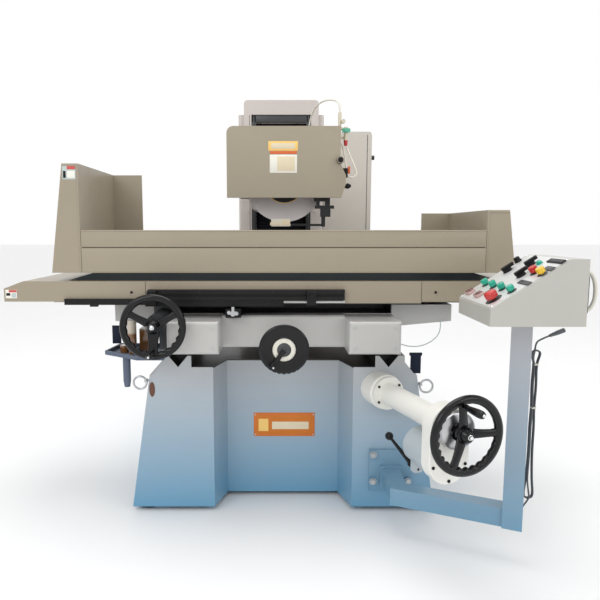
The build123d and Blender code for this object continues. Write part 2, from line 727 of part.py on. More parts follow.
def head_casting():
    z0 = WHEEL_Z - HEAD_BELOW
    z1 = WHEEL_Z + HEAD_ABOVE
    body = block(-HEAD_HALF, HEAD_HALF, HEAD_FRONT, HEAD_REAR, z0, z1)
    body = fillet(body.edges().filter_by(Axis.Y), 18)
    body += block(HEAD_HALF - 6, HEAD_HALF + 36, HEAD_REAR - 60, LIFT_SCREW_Y + 24, WHEEL_Z - 40, WHEEL_Z + 20)
    body -= rod_z(LIFT_SCREW_X, LIFT_SCREW_Y, LIFT_SCREW_R + RUN_GAP, z0, z1)
    return body - rod_y(WHEEL_X, WHEEL_Z, SPINDLE_R + RUN_GAP, HEAD_FRONT - 1, HEAD_REAR - 90)


def spindle_motor():
    """The built-on spindle motor, behind the head inside the column."""
    motor = rod_y(WHEEL_X, WHEEL_Z, 100, HEAD_REAR, HEAD_REAR + 230)
    return fillet(motor.edges().group_by(Axis.Y)[-1], 12)


def spindle():
    """The spindle with the hub that clamps the wheel and its end nut."""
    shaft = rod_y(WHEEL_X, WHEEL_Z, SPINDLE_R, HEAD_FRONT - 6, HEAD_REAR - 92)
    shaft += rod_y(WHEEL_X, WHEEL_Z, NOSE_R, WHEEL_FRONT - 34, HEAD_FRONT - 5)
    return [shaft, wheel_flange()]


def wheel_flange():
    """The hub and clamping rings on both sides of the wheel."""
    back = WHEEL_FRONT + WHEEL_WIDTH
    hub = rod_y(WHEEL_X, WHEEL_Z, WHEEL_BORE_R, WHEEL_FRONT, back)
    hub += rod_y(WHEEL_X, WHEEL_Z, 92, back, back + 16)
    hub += rod_y(WHEEL_X, WHEEL_Z, 88, WHEEL_FRONT - 14, WHEEL_FRONT)
    hub += rod_y(WHEEL_X, WHEEL_Z, 44, WHEEL_FRONT - 26, WHEEL_FRONT - 14)
    return hub - rod_y(WHEEL_X, WHEEL_Z, NOSE_R, WHEEL_FRONT - 40, back + 40)


def grinding_wheel():
    wheel = rod_y(WHEEL_X, WHEEL_Z, WHEEL_R, WHEEL_FRONT, WHEEL_FRONT + WHEEL_WIDTH)
    return wheel - rod_y(WHEEL_X, WHEEL_Z, WHEEL_BORE_R, WHEEL_FRONT - 1, WHEEL_FRONT + WHEEL_WIDTH + 1)


def wheel_guard():
    """The steel shell round the wheel, open below, with the lugs of the door hinge."""
    low, high = DOOR_BOTTOM + 4, DOOR_TOP - 12
    left, right = WHEEL_X - SHELL_HALF, WHEEL_X + SHELL_HALF
    wall = 8.0
    shell = block(left, right, SHELL_FRONT, SHELL_BACK, low, high)
    shell = fillet(shell.edges().filter_by(Axis.Y).group_by(Axis.Z)[-1], 60)
    inner = block(left + wall, right - wall, SHELL_FRONT - 1, SHELL_BACK - wall, low - 1, high - wall)
    inner = fillet(inner.edges().filter_by(Axis.Y).group_by(Axis.Z)[-1], 54)
    shell -= inner
    shell += block(WHEEL_X - 90, WHEEL_X + 90, SHELL_BACK, HEAD_FRONT, low, WHEEL_Z + 100)
    shell -= rod_y(WHEEL_X, WHEEL_Z, SPINDLE_R + 10, SHELL_BACK - wall - 2, HEAD_FRONT + 1)
    for z in (DOOR_BOTTOM + 40, DOOR_TOP - 90):
        lug = block(DOOR_HINGE_X - 5, left + 1, DOOR_HINGE_Y - 5, SHELL_FRONT + 12, z, z + 34)
        lug += rod_z(DOOR_HINGE_X, DOOR_HINGE_Y, 9, z, z + 34)
        shell += lug - rod_z(DOOR_HINGE_X, DOOR_HINGE_Y, 5 + RUN_GAP, z - 1, z + 35)
    return shell


DOOR_HINGE_X = -231.0
DOOR_HINGE_Y = -249.0


def guard_door():
    """The wide front cover of the wheel guard: a shallow pan with a cut lower corner."""
    outline = [
        (DOOR_LEFT, DOOR_BOTTOM),
        (DOOR_RIGHT - 20, DOOR_BOTTOM),
        (DOOR_RIGHT, DOOR_BOTTOM + 58),
        (DOOR_RIGHT, DOOR_BOTTOM + 94),
        (DOOR_RIGHT - 25, DOOR_BOTTOM + 146),
        (DOOR_RIGHT - 25, DOOR_TOP),
        (DOOR_LEFT, DOOR_TOP),
    ]
    pan = along_y(outline, DOOR_FRONT, DOOR_BACK)
    pan = fillet(pan.edges().filter_by(Axis.Y).group_by(Axis.Z)[-1].sort_by(Axis.X)[0], 30)
    wall = 3.0
    pan -= block(
        DOOR_LEFT + wall, DOOR_RIGHT - 28, DOOR_FRONT + wall, DOOR_BACK + 1, DOOR_BOTTOM + wall, DOOR_TOP - 32
    )
    for z in (DOOR_BOTTOM + 40 + 34.5, DOOR_TOP - 90 + 34.5):
        ear = rod_z(DOOR_HINGE_X, DOOR_HINGE_Y, 9, z, z + 26)
        ear += block(DOOR_HINGE_X - 9, DOOR_HINGE_X + 3, DOOR_BACK - 10, DOOR_HINGE_Y, z, z + 26)
        pan += ear
        pan += rod_z(DOOR_HINGE_X, DOOR_HINGE_Y, 5, z - 32, z + 1)
    knob_x, knob_z = DOOR_RIGHT - 27, DOOR_BOTTOM + 158
    pan += rod_y(knob_x, knob_z, 7, DOOR_FRONT - 8, DOOR_FRONT)
    pan += rod_y(knob_x, knob_z, 15, DOOR_FRONT - 24, DOOR_FRONT - 8)
    return pan


def coolant_valve():
    """The brass cock beside the guard's top right corner, on its bracket."""
    x, y, z = VALVE
    wall_x = WHEEL_X + SHELL_HALF
    bracket = block(wall_x, x + 4, y + 2, y + 10, z - 34, z - 24)
    bracket += block(wall_x, wall_x + 5, y - 6, y + 40, z - 60, z - 4)
    body = rod_z(x, y, 9, z - 41, z + 16)
    body += rod_x(y, z + 9, 6, x - 31, x + 3)
    body += rod_z(x - 27, y, 7.5, z + 1, z + 78)
    body += rod_y(x - 13, z + 38, 9, y - 22, y - 6)
    body += rod_y(x - 13, z + 38, 4, y - 8, y)
    body += rod_x(y, z + 38, 3, x - 27, x - 14)
    return bracket + body - rod_y(x, z, 4 + RUN_GAP, y - 20, y + 3)


VALVE = (277.0, -250.0, 1576.0)


def valve_lever():
    """The green quarter-turn handle of the cock."""
    x, y, z = VALVE
    stem = rod_y(x, z, 4, y - 13, y + 2)
    wing = block(x - 18, x + 18, y - 17, y - 12, z - 9, z + 9)
    wing = fillet(wing.edges().filter_by(Axis.Y), 6)
    return stem + wing + rod_y(x, z, 7, y - 20, y - 11)


def arc_corners(centre, radius, start, turn, count):
    """Corners of the straight runs that wrap an arc, as offsets in the XZ plane."""
    half = turn / count / 2
    reach = radius / cos(radians(half))
    angles = [start + half * (2 * i + 1) for i in range(count)]
    return [(centre[0] + reach * cos(radians(a)), centre[1] + reach * sin(radians(a))) for a in angles]


def coolant_hose():
    """The light hose that hangs in a loop from the cock and returns to the guard."""
    x, y, z = VALVE
    loop = arc_corners((x + 28, z - 178), HOSE_BEND, 18, -216, 6)
    points = [(x, y, z - 41), (x + 1, y, z - 62), (x + 26, y - 2, z - 120)]
    points += [(px, y - 4 + 6 * i / 5, pz) for i, (px, pz) in enumerate(loop)]
    points += [
        (x + 1, y + 4, z - 128),
        (x - 8, y + 8, z - 84),
        (x - 14, y + 12, z - 58),
        (x - 32, y + 16, z - 42),
        (WHEEL_X + SHELL_HALF + 5.4, y + 17, z - 38),
    ]
    return tube_along(points, HOSE_R)


HOSE_R = 3.5
HOSE_BEND = 22.0


def tube_along(points, radius):
    """A round tube on straight runs joined by the largest tangent arcs that the runs allow."""
    runs = [Vector(*b) - Vector(*a) for a, b in zip(points, points[1:])]
    radii = []
    for first, second in zip(runs, runs[1:]):
        half_turn = radians(first.get_angle(second)) / 2
        radii.append(0.45 * min(first.length, second.length) / tan(half_turn))
    print("tube radius", radius, "arc radii", [round(r) for r in radii])
    path = FilletPolyline(*points, radius=radii)
    print("  length", round(path.length))
    section = Plane(origin=points[0], z_dir=runs[0]) * Circle(radius)
    return sweep(section, path=path)


def nozzle():
    """The nozzle manifold under the guard: a cross bar, the block and its jet."""
    y = -236.0
    bar = block(145, 230, y - 10, y + 10, 1240, 1254)
    bar += block(190, 212, y - 8, y + 14, 1254, DOOR_BOTTOM + 4)
    bar += block(152, 166, y - 8, y + 8, 1254, DOOR_BOTTOM - 14)
    bar += block(140, 212, y - 8, y + 14, DOOR_BOTTOM - 14, DOOR_BOTTOM + 4)
    bar += block(170, 214, y - 14, y + 14, 1204, 1240)
    bar += rod_z(183, y, 9, 1160, 1204)
    bar += rod_x(y, 1168, 5, 30, 183)
    spray = block(-50, 35, y - 12, y + 8, 1162, 1195)
    spray = fillet(spray.edges().filter_by(Axis.Y), 3)
    return [bar + spray]


def lift_screw():
    """The screw that raises the head, standing inside the column."""
    low = BED_Z + COLUMN_WALL - SCREW_SEAT + 1
    screw = rod_z(LIFT_SCREW_X, LIFT_SCREW_Y, LIFT_SCREW_R, low, COLUMN_TOP - COLUMN_WALL - 1)
    return screw + rod_z(LIFT_SCREW_X, LIFT_SCREW_Y, 24, BED_Z + COLUMN_WALL + 1, BED_Z + COLUMN_WALL + 22)


# ---- electrical cabinet -------------------------------------------------------------
def cabinet():
    wall = 3.0
    body = block(CABINET_LEFT, CABINET_RIGHT, CABINET_FRONT, CABINET_REAR, CABINET_BOTTOM, CABINET_TOP)
    body = fillet(body.edges().filter_by(Axis.Y).group_by(Axis.Z)[-1].sort_by(Axis.X)[-1], 14)
    body -= block(
        CABINET_LEFT + wall, CABINET_RIGHT + 1, CABINET_FRONT + 22, CABINET_REAR - 22,
        CABINET_BOTTOM + 22, CABINET_TOP - 22,
    )
    return body


def cabinet_door():
    """The side door with its hinge barrels and its twist handle."""
    x = CABINET_RIGHT + 0.6
    hinge_y = CABINET_REAR - 10
    door = block(x, x + 3, CABINET_FRONT + 12, hinge_y - 8, CABINET_BOTTOM + 12, CABINET_TOP - 16)
    for z in (CABINET_BOTTOM + 100, CABINET_TOP - 160):
        door += rod_z(x + 6, hinge_y, 6, z, z + 60)
        door += block(x, x + 6, hinge_y - 9, hinge_y, z, z + 60)
    handle = rod_x(CABINET_FRONT + 34, 1532, 12, x + 3, x + 20)
    return door + handle


# ---- vertical feed unit -------------------------------------------------------------
def feed_frame():
    return shaft_frame(FEED_WHEEL, FEED_LEAN)


def feed_reach():
    """Distance from the handwheel back along the shaft to the base's front face."""
    return (BASE_FRONT - FEED_WHEEL[1]) / cos(radians(FEED_LEAN))


def feed_tube():
    """The boss on the right leg and the tube that carries the feed gearbox."""
    reach = feed_reach()
    ring_z = -reach + FEED_BOSS_LENGTH
    boss = Pos(0, 0, ring_z - FEED_BOSS_LENGTH) * Cylinder(FEED_BOSS_R, 2 * FEED_BOSS_LENGTH)
    ring = Pos(0, 0, ring_z + 9) * Cylinder(FEED_BOSS_R - 5, 18)
    case_back = FEED_CASE_FACE - FEED_CASE_THICK
    length = case_back - ring_z
    tube = Pos(0, 0, case_back - length / 2) * Cylinder(FEED_TUBE_R, length)
    body = fillet(boss.edges().group_by(Axis.Z)[-1], 8) + ring + tube
    body -= Cylinder(FEED_SHAFT_R + 12, 3 * reach)
    body = feed_frame() * body
    return body - block(-2000, 2000, BASE_FRONT, 2000, 0, 2000)


def feed_case():
    """The gearbox: a tall rounded case with a screwed front cover."""
    length = FEED_CASE_DROP
    outline = Rot(0, 0, 90) * SlotCenterToCenter(length, 2 * FEED_CASE_R)
    case = extrude(outline, amount=FEED_CASE_THICK)
    case = Pos(0, -length / 2, FEED_CASE_FACE - FEED_CASE_THICK) * case
    case = fillet(case.edges().group_by(Axis.Z)[-1], 4)
    return feed_frame() * (case - Cylinder(FEED_SHAFT_R + RUN_GAP, 1000))


def feed_motor():
    """The rapid-lift motor behind the case, with the lug of the clutch lever."""
    back = FEED_CASE_FACE - FEED_CASE_THICK
    motor = Pos(0, -FEED_CASE_DROP, back - FEED_MOTOR_LENGTH / 2) * Cylinder(FEED_MOTOR_R, FEED_MOTOR_LENGTH)
    motor = fillet(motor.edges().group_by(Axis.Z)[0], 8)
    x, y = LEVER_PIVOT
    end = back - FEED_MOTOR_LENGTH
    lug = Pos(x, (y - 14 - FEED_CASE_DROP - FEED_MOTOR_R + 8) / 2, end + 18) * Box(30, 38, 28)
    lug -= Pos(x, y, 0) * Cylinder(LEVER_PIN_R + RUN_GAP, 2000)
    return feed_frame() * (motor + lug)


LEVER_PIVOT = (-14.0, -205.0)
LEVER_PIN_R = 5.0
LEVER_LENGTH = 124.0


def clutch_lever():
    """The clutch lever: a ball on a tapered rod that turns in the motor's lug."""
    back = FEED_CASE_FACE - FEED_CASE_THICK
    x, y = LEVER_PIVOT
    z = back - FEED_MOTOR_LENGTH - 14
    pin = Pos(x, y, z + 18) * Cylinder(LEVER_PIN_R, 52)
    hub = Pos(x, y, z) * Cylinder(11, 18)
    rod = Pos(0, LEVER_LENGTH / 2, 0) * Rot(-90, 0, 0) * Cone(8, 5, LEVER_LENGTH)
    arm = rod + Pos(0, LEVER_LENGTH, 0) * Sphere(15)
    arm = Pos(x, y, z) * Rot(0, 0, 30) * Rot(-38, 0, 0) * arm
    return feed_frame() * (pin + hub + arm)


def feed_wheel():
    """The vertical feed handwheel with its dial and shaft."""
    reach = feed_reach()
    wheel = handwheel(FEED_WHEEL_R, 14, 27, 46, 18, (0, 102, 244), 6)
    wheel -= grip_hole(FEED_GRIP_RING, 102)
    wheel += Pos(0, 0, -62) * Cylinder(62, 32)
    wheel += Pos(0, 0, -(reach - 60) / 2) * Cylinder(FEED_SHAFT_R, reach - 60)
    return feed_frame() * wheel


def feed_grip():
    return feed_frame() * grip(FEED_GRIP_RING, 102, 15, 88, 13)


# ---- console ------------------------------------------------------------------------
def console_arm():
    """The bolted plate, the square-tube arm and the post in one weldment."""
    low, high = ARM_BOTTOM, ARM_BOTTOM + ARM_SIZE
    half = ARM_SIZE / 2
    plate = block(ARM_X - 85, ARM_X + 85, BASE_FRONT - 12, BASE_FRONT, low - 36, high + 71)
    corner_y = ARM_CORNER_Y + half
    first = block(ARM_X - half, ARM_X + half, ARM_CORNER_Y + 20, BASE_FRONT - 12, low, high)
    boss = block(ARM_X - half - 10, ARM_X + half + 10, BASE_FRONT - 28, BASE_FRONT - 12, low - 8, high + 8)
    start_x, start_y = ARM_X - half, ARM_CORNER_Y
    length = hypot(POST_X - start_x, POST_Y - start_y) + half
    second = Pos(length / 2 - 6, half, (low + high) / 2) * Box(length, ARM_SIZE, ARM_SIZE)
    second = Pos(start_x, start_y, 0) * Rot(0, 0, -ARM_LEAN) * second
    post = Pos(POST_X, POST_Y, (low + CONSOLE_BOTTOM) / 2) * Rot(0, 0, -ARM_LEAN) * Box(
        ARM_SIZE, ARM_SIZE, CONSOLE_BOTTOM - low
    )
    arm = plate + first + boss + second + post
    for x in (ARM_X - 70, ARM_X + 70):
        for z in (ARM_BOTTOM + 8, ARM_BOTTOM + 120):
            arm += rod_y(x, z, 10, BASE_FRONT - 24, BASE_FRONT - 12)
    return arm


def console_box():
    """The hollow console box under its sloped operator panel."""
    wall = 3.0
    outline = [
        (CONSOLE_LEFT, CONSOLE_BOTTOM),
        (CONSOLE_LEFT, CONSOLE_BOTTOM + CONSOLE_LIP),
        (CONSOLE_RIGHT - CONSOLE_FLAT, CONSOLE_TOP),
        (CONSOLE_RIGHT, CONSOLE_TOP),
        (CONSOLE_RIGHT, CONSOLE_BOTTOM),
    ]
    box = along_y(outline, CONSOLE_NEAR, CONSOLE_FAR)
    box = fillet(box.edges().filter_by(Axis.Z), 4)
    inner = [
        (CONSOLE_LEFT + wall, CONSOLE_BOTTOM + wall),
        (CONSOLE_LEFT + wall, CONSOLE_BOTTOM + CONSOLE_LIP - wall),
        (CONSOLE_RIGHT - CONSOLE_FLAT, CONSOLE_TOP - 2 * wall),
        (CONSOLE_RIGHT - wall, CONSOLE_TOP - 2 * wall),
        (CONSOLE_RIGHT - wall, CONSOLE_BOTTOM + wall),
    ]
    box -= along_y(inner, CONSOLE_NEAR + wall, CONSOLE_FAR - wall)
    for s, y, r, _ in CONTROLS.values():
        box -= panel_frame() * Pos(s, y, 0) * Cylinder(CONTROL_STEM_R + 2, 40)
    return box


def panel_frame():
    """A frame on the sloped panel: X up the slope, Y across it, Z out of it."""
    rise = CONSOLE_TOP - CONSOLE_BOTTOM - CONSOLE_LIP
    run = CONSOLE_RIGHT - CONSOLE_FLAT - CONSOLE_LEFT
    slope = atan2(rise, run)
    middle = (CONSOLE_NEAR + CONSOLE_FAR) / 2
    origin = (CONSOLE_LEFT, middle, CONSOLE_BOTTOM + CONSOLE_LIP)
    return Location(Plane(origin=origin, x_dir=(cos(slope), 0, sin(slope)), z_dir=(-sin(slope), 0, cos(slope))))


# name: distance up the slope, distance across it, radius, height above the panel
CONTROL_STEM_R = 6.0
CONTROLS = {
    "emergency_stop": (38.0, -92.0, 20.0, 34.0),
    "green_button_1": (91.0, 97.0, 12.0, 24.0),
    "green_button_2": (91.0, 26.0, 12.0, 24.0),
    "green_button_3": (91.0, -47.0, 12.0, 24.0),
    "green_button_4": (91.0, -118.0, 12.0, 24.0),
    "red_button": (190.0, -84.0, 13.0, 26.0),
    "yellow_button": (190.0, -134.0, 13.0, 26.0),
    "selector_1": (176.0, 97.0, 12.0, 22.0),
    "selector_2": (166.0, -32.0, 12.0, 22.0),
    "selector_3": (224.0, 12.0, 12.0, 22.0),
}
BUTTON_TRAVEL = 5.0


def console_panel():
    """The light plate screwed on the slope, with a hole for each control."""
    rise = CONSOLE_TOP - CONSOLE_BOTTOM - CONSOLE_LIP
    run = CONSOLE_RIGHT - CONSOLE_FLAT - CONSOLE_LEFT
    length = hypot(rise, run)
    width = CONSOLE_FAR - CONSOLE_NEAR
    plate = Pos(length / 2, 0, PANEL_THICK / 2) * Box(length - 10, width - 14, PANEL_THICK)
    for s, y, r, _ in CONTROLS.values():
        plate -= Pos(s, y, 0) * Cylinder(CONTROL_STEM_R + 2, 40)
    return panel_frame() * plate


def push_control(name):
    """A push button: its cap stands off the plate by more than its travel."""
    s, y, r, height = CONTROLS[name]
    foot = PANEL_THICK + BUTTON_TRAVEL + 1.5
    cap = Pos(s, y, (foot + height) / 2) * Cylinder(r, height - foot)
    cap = fillet(cap.edges().group_by(Axis.Z)[-1], 3)
    stem = Pos(s, y, (foot - 14) / 2) * Cylinder(CONTROL_STEM_R, foot + 14)
    return panel_frame() * (cap + stem)


def selector_control(name):
    """A turn selector: a round base with a long pointer bar."""
    s, y, r, height = CONTROLS[name]
    foot = PANEL_THICK + 0.6
    base = Pos(s, y, foot + 4) * Cylinder(r + 3, 8)
    bar = Pos(s + 6, y, foot + 8 + (height - foot - 8) / 2) * Box(46, 13, height - foot - 8)
    bar = fillet(bar.edges().filter_by(Axis.Z), 5)
    stem = Pos(s, y, (foot - 14) / 2 + 1) * Cylinder(CONTROL_STEM_R, foot + 14)
    return panel_frame() * (base + bar + stem)


CABLE_R = 3.0
CABLE_BEND = 24.0
CABLE_OUT = 10.0
CABLE_SIDE = 27.0
HANK_BOTTOM = 196.0
HANK_TOP = 738.0
HANK_ASIDE = 24.0
HANK_WIDTH = 42.0
HANK_DEPTH = 24.0
PLUG_LEAN = 68.0
PLUG_LEAD = 30.0


def post_normal():
    """The direction straight out of the post's rear face."""
    return sin(radians(ARM_LEAN)), cos(radians(ARM_LEAN))


def behind_post(out):
    """A point that far out from the post's middle line, near the rear face's right edge."""
    nx, ny = post_normal()
    return POST_X + out * nx + CABLE_SIDE * ny, POST_Y + out * ny - CABLE_SIDE * nx


def arm_rear():
    """How far the arm's rear face stands behind the post's middle line."""
    nx, ny = post_normal()
    return (ARM_X - ARM_SIZE / 2 - POST_X) * nx + (ARM_CORNER_Y - POST_Y) * ny + ARM_SIZE


def hank_centre():
    """Where the hank hangs: behind the post and out to its right."""
    x, y = behind_post(arm_rear() + CABLE_OUT + CABLE_BEND)
    return x + HANK_ASIDE, y + HANK_ASIDE / 4


def cable_hank():
    """The outer shape of the long hank of console cable beside the post."""
    x, y = hank_centre()
    hank = Pos(x, y, (HANK_BOTTOM + HANK_TOP) / 2) * Box(HANK_WIDTH, HANK_DEPTH, HANK_TOP - HANK_BOTTOM)
    return fillet(hank.edges().filter_by(Axis.Y), 18)


def bend_points(start, along, up, turn, count):
    """Corners of the runs that wrap a bend from one direction towards another."""
    half = radians(turn / count / 2)
    points = []
    for i in range(count):
        angle = half * (2 * i + 1)
        reach = CABLE_BEND / cos(half)
        a = reach * sin(angle)
        b = CABLE_BEND - reach * cos(angle)
        points.append(tuple(s + a * d + b * e for s, d, e in zip(start, along, up)))
    return points


def post_lead():
    """The lead that leaves the post's rear face and turns up into the hank."""
    x, y = hank_centre()
    low = HANK_BOTTOM - CABLE_BEND - HANK_ASIDE
    face = (*behind_post(arm_rear()), low)
    start = (*behind_post(arm_rear() + CABLE_OUT), low)
    corners = bend_points(start, (*post_normal(), 0), (0, 0, 1), 90, 3)
    return [face] + corners + [(x, y, HANK_BOTTOM - 3)]


def plug_lead():
    """The lead that leaves the top of the hank and leans over to the plug."""
    x, y = hank_centre()
    start = (x, y, HANK_TOP + 14)
    corners = bend_points(start, (0, 0, 1), (1, 0, 0), PLUG_LEAN, 2)
    lean = radians(PLUG_LEAN)
    end_x = x + CABLE_BEND * (1 - cos(lean)) + PLUG_LEAD * sin(lean)
    end_z = start[2] + CABLE_BEND * sin(lean) + PLUG_LEAD * cos(lean)
    return [(x, y, HANK_TOP)] + corners + [(end_x, y, end_z)]


def cable_leads():
    """The lead from the post to the hank, and the one from the hank to the plug."""
    return [tube_along(post_lead(), CABLE_R), tube_along(plug_lead(), CABLE_R)]


def cable_plug():
    """The moulded connector at the free end of the cable."""
    lean = radians(PLUG_LEAN)
    frame = Location(Plane(origin=plug_lead()[-1], z_dir=(sin(lean), 0, cos(lean))))
    return frame * (Pos(0, 0, 16) * Cone(5, 8, 32) + Pos(0, 0, 43) * Cylinder(8, 22))


# ---- write every node ---------------------------------------------------------------
def saddle_with_ways():
    return saddle_casting() - table_way_groove()


nodes = {
    "base_casting": [base_casting()],
    "levelling_feet": levelling_feet(),
    "saddle_casting": [saddle_with_ways()],
    "reversing_valve": [reversing_valve()],
    "reversing_lever": [reversing_lever()],
    "drip_tray": [drip_tray()],
    "lubricator": lubricator(),
    "wheel_bracket": [wheel_bracket()],
    "table_handwheel": [table_wheel()],
    "table_grip": [table_grip()],
    "cross_handwheel": [cross_wheel()],
    "cross_grip": [cross_grip()],
    "cross_screw": [cross_screw()],
    "table_casting": [table_casting()],
    "table_covers": table_covers(),
    "magnetic_chuck": [chuck()],
    "splash_guard": [splash_guard()],
    "dog_rails": dog_rails(),
    "trip_dog_left": [trip_dog(-500)],
    "trip_dog_right": [trip_dog(105)],
    "table_cylinder": [table_cylinder()],
    "piston_rod": [piston_rod()],
    "column": [column()],
    "column_frame": [column_frame()],
    "bellows_upper": [bellows(WHEEL_Z + HEAD_ABOVE, OPENING_TOP - 40)],
    "bellows_lower": [bellows(OPENING_BOTTOM, WHEEL_Z - HEAD_BELOW)],
    "head_casting": [head_casting()],
    "spindle_motor": [spindle_motor()],
    "spindle_shaft": spindle(),
    "grinding_wheel": [grinding_wheel()],
    "wheel_guard": [wheel_guard()],
    "guard_door": [guard_door()],
    "coolant_fittings": [coolant_valve()] + nozzle(),
    "valve_lever": [valve_lever()],
    "coolant_hose": [coolant_hose()],
    "lift_screw": [lift_screw()],
    "electrical_cabinet": [cabinet()],
    "cabinet_door": [cabinet_door()],
    "feed_tube": [feed_tube()],
    "feed_case": [feed_case()],
    "feed_motor": [feed_motor()],
    "clutch_lever": [clutch_lever()],
    "feed_handwheel": [feed_wheel()],
    "feed_grip": [feed_grip()],
    "console_arm": [console_arm()],
    "console_box": [console_box()],
    "console_panel": [console_panel()],
    "cable_hank": [cable_hank()],
    "cable_leads": cable_leads(),
    "cable_plug": [cable_plug()],
}
for control in CONTROLS:
    turns = control.startswith("selector")
    nodes[control] = [selector_control(control) if turns else push_control(control)]
for name, shapes in nodes.items():
    write(name, *shapes)
print(len(nodes), "nodes")
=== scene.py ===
import json
from math import cos, pi, radians, sin

import bmesh
import bpy
from mathutils import Matrix, Vector


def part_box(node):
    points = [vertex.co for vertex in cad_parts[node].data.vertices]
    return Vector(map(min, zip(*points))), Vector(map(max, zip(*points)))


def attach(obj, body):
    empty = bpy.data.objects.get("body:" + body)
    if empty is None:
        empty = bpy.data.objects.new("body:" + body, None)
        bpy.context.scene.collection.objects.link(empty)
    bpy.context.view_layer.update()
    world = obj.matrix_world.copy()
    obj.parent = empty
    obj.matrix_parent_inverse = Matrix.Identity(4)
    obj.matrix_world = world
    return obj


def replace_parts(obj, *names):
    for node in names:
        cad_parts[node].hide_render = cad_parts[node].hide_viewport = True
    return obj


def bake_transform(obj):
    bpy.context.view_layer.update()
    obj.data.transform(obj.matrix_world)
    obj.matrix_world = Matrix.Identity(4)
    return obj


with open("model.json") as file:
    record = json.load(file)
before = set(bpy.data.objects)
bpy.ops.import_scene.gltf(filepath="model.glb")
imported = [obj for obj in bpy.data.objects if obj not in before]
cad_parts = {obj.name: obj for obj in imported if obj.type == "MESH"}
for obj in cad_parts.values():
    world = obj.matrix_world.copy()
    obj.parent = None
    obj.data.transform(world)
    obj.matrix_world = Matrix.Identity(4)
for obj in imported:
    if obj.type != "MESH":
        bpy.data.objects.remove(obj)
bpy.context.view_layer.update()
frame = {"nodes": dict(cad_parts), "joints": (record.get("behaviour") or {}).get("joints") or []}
JOINTS = {joint["name"]: joint for joint in frame["joints"]}


# ---- finishes ---------------------------------------------------------------------
class Socket:
    """A node output that can be used in sums, and that can feed any further node."""

    def __init__(self, tree, out):
        self.tree = tree
        self.out = out

    def node(self, kind, settings, inputs, output=0):
        made = self.tree.nodes.new(kind)
        for key, value in settings.items():
            if key == "stops":
                ramp = made.color_ramp
                while len(ramp.elements) < len(value):
                    ramp.elements.new(0.5)
                for element, (place, shade) in zip(ramp.elements, value):
                    element.position = place
                    element.color = shade if len(shade) == 4 else (*shade, 1.0)
            else:
                setattr(made, key, value)
        for key, value in inputs.items():
            if isinstance(value, Socket):
                self.tree.links.new(value.out, made.inputs[key])
            else:
                made.inputs[key].default_value = value
        return Socket(self.tree, made.outputs[output])

    def maths(self, operation, first, second=0.0):
        return self.node("ShaderNodeMath", {"operation": operation}, {0: first, 1: second})

    def __add__(self, other):
        return self.maths("ADD", self, other)

    __radd__ = __add__

    def __sub__(self, other):
        return self.maths("SUBTRACT", self, other)

    def __rsub__(self, other):
        return self.maths("SUBTRACT", other, self)

    def __mul__(self, other):
        return self.maths("MULTIPLY", self, other)

    __rmul__ = __mul__

    def __truediv__(self, other):
        return self.maths("DIVIDE", self, other)

    def __gt__(self, limit):
        return self.maths("GREATER_THAN", self, limit)

    def __lt__(self, limit):
        return self.maths("LESS_THAN", self, limit)

    def clamp(self):
        return self.node("ShaderNodeClamp", {}, {0: self})

    def choose(self, low, high):
        """Mixes two colours by this value."""
        settings = {"data_type": "RGBA", "clamp_factor": True}
        return self.node("ShaderNodeMix", settings, {0: self, 6: tint(low), 7: tint(high)}, 2)

    def scaled(self, x, y, z):
        return self.node("ShaderNodeVectorMath", {"operation": "MULTIPLY"}, {0: self, 1: (x, y, z)})

    def part(self, axis):
        return self.node("ShaderNodeSeparateXYZ", {}, {0: self}, axis)

    def noise(self, scale, detail=2.0, rough=0.5):
        inputs = {"Vector": self, "Scale": scale, "Detail": detail, "Roughness": rough}
        return self.node("ShaderNodeTexNoise", {}, inputs)

    def steps(self, low, high):
        """Stretches the range from low to high over 0 to 1."""
        return self.node("ShaderNodeMapRange", {}, {0: self, 1: low, 2: high, 3: 0.0, 4: 1.0})


def tint(colour):
    return colour if isinstance(colour, Socket) else (*colour[:3], 1.0)


def shade(colour, factor):
    return tuple(min(1.0, channel * factor) for channel in colour[:3])


class Finish:
    """A material in the making: its position field and its shader."""

    def __init__(self, name, metal=0.0, coat=0.0, coat_rough=0.1, specular=0.5):
        self.material = bpy.data.materials.new(name)
        self.material.use_nodes = True
        self.tree = self.material.node_tree
        self.shader = self.tree.nodes["Principled BSDF"]
        self.shader.inputs["Metallic"].default_value = metal
        self.shader.inputs["Coat Weight"].default_value = coat
        self.shader.inputs["Coat Roughness"].default_value = coat_rough
        self.shader.inputs["Specular IOR Level"].default_value = specular
        self.at = Socket(self.tree, self.tree.nodes.new("ShaderNodeTexCoord").outputs["Object"])

    def set(self, name, value):
        if isinstance(value, Socket):
            self.tree.links.new(value.out, self.shader.inputs[name])
        else:
            self.shader.inputs[name].default_value = value

    def relief(self, height, strength, distance=0.001):
        bump = self.at.node("ShaderNodeBump", {}, {"Strength": strength, "Distance": distance, "Height": height})
        self.set("Normal", bump)


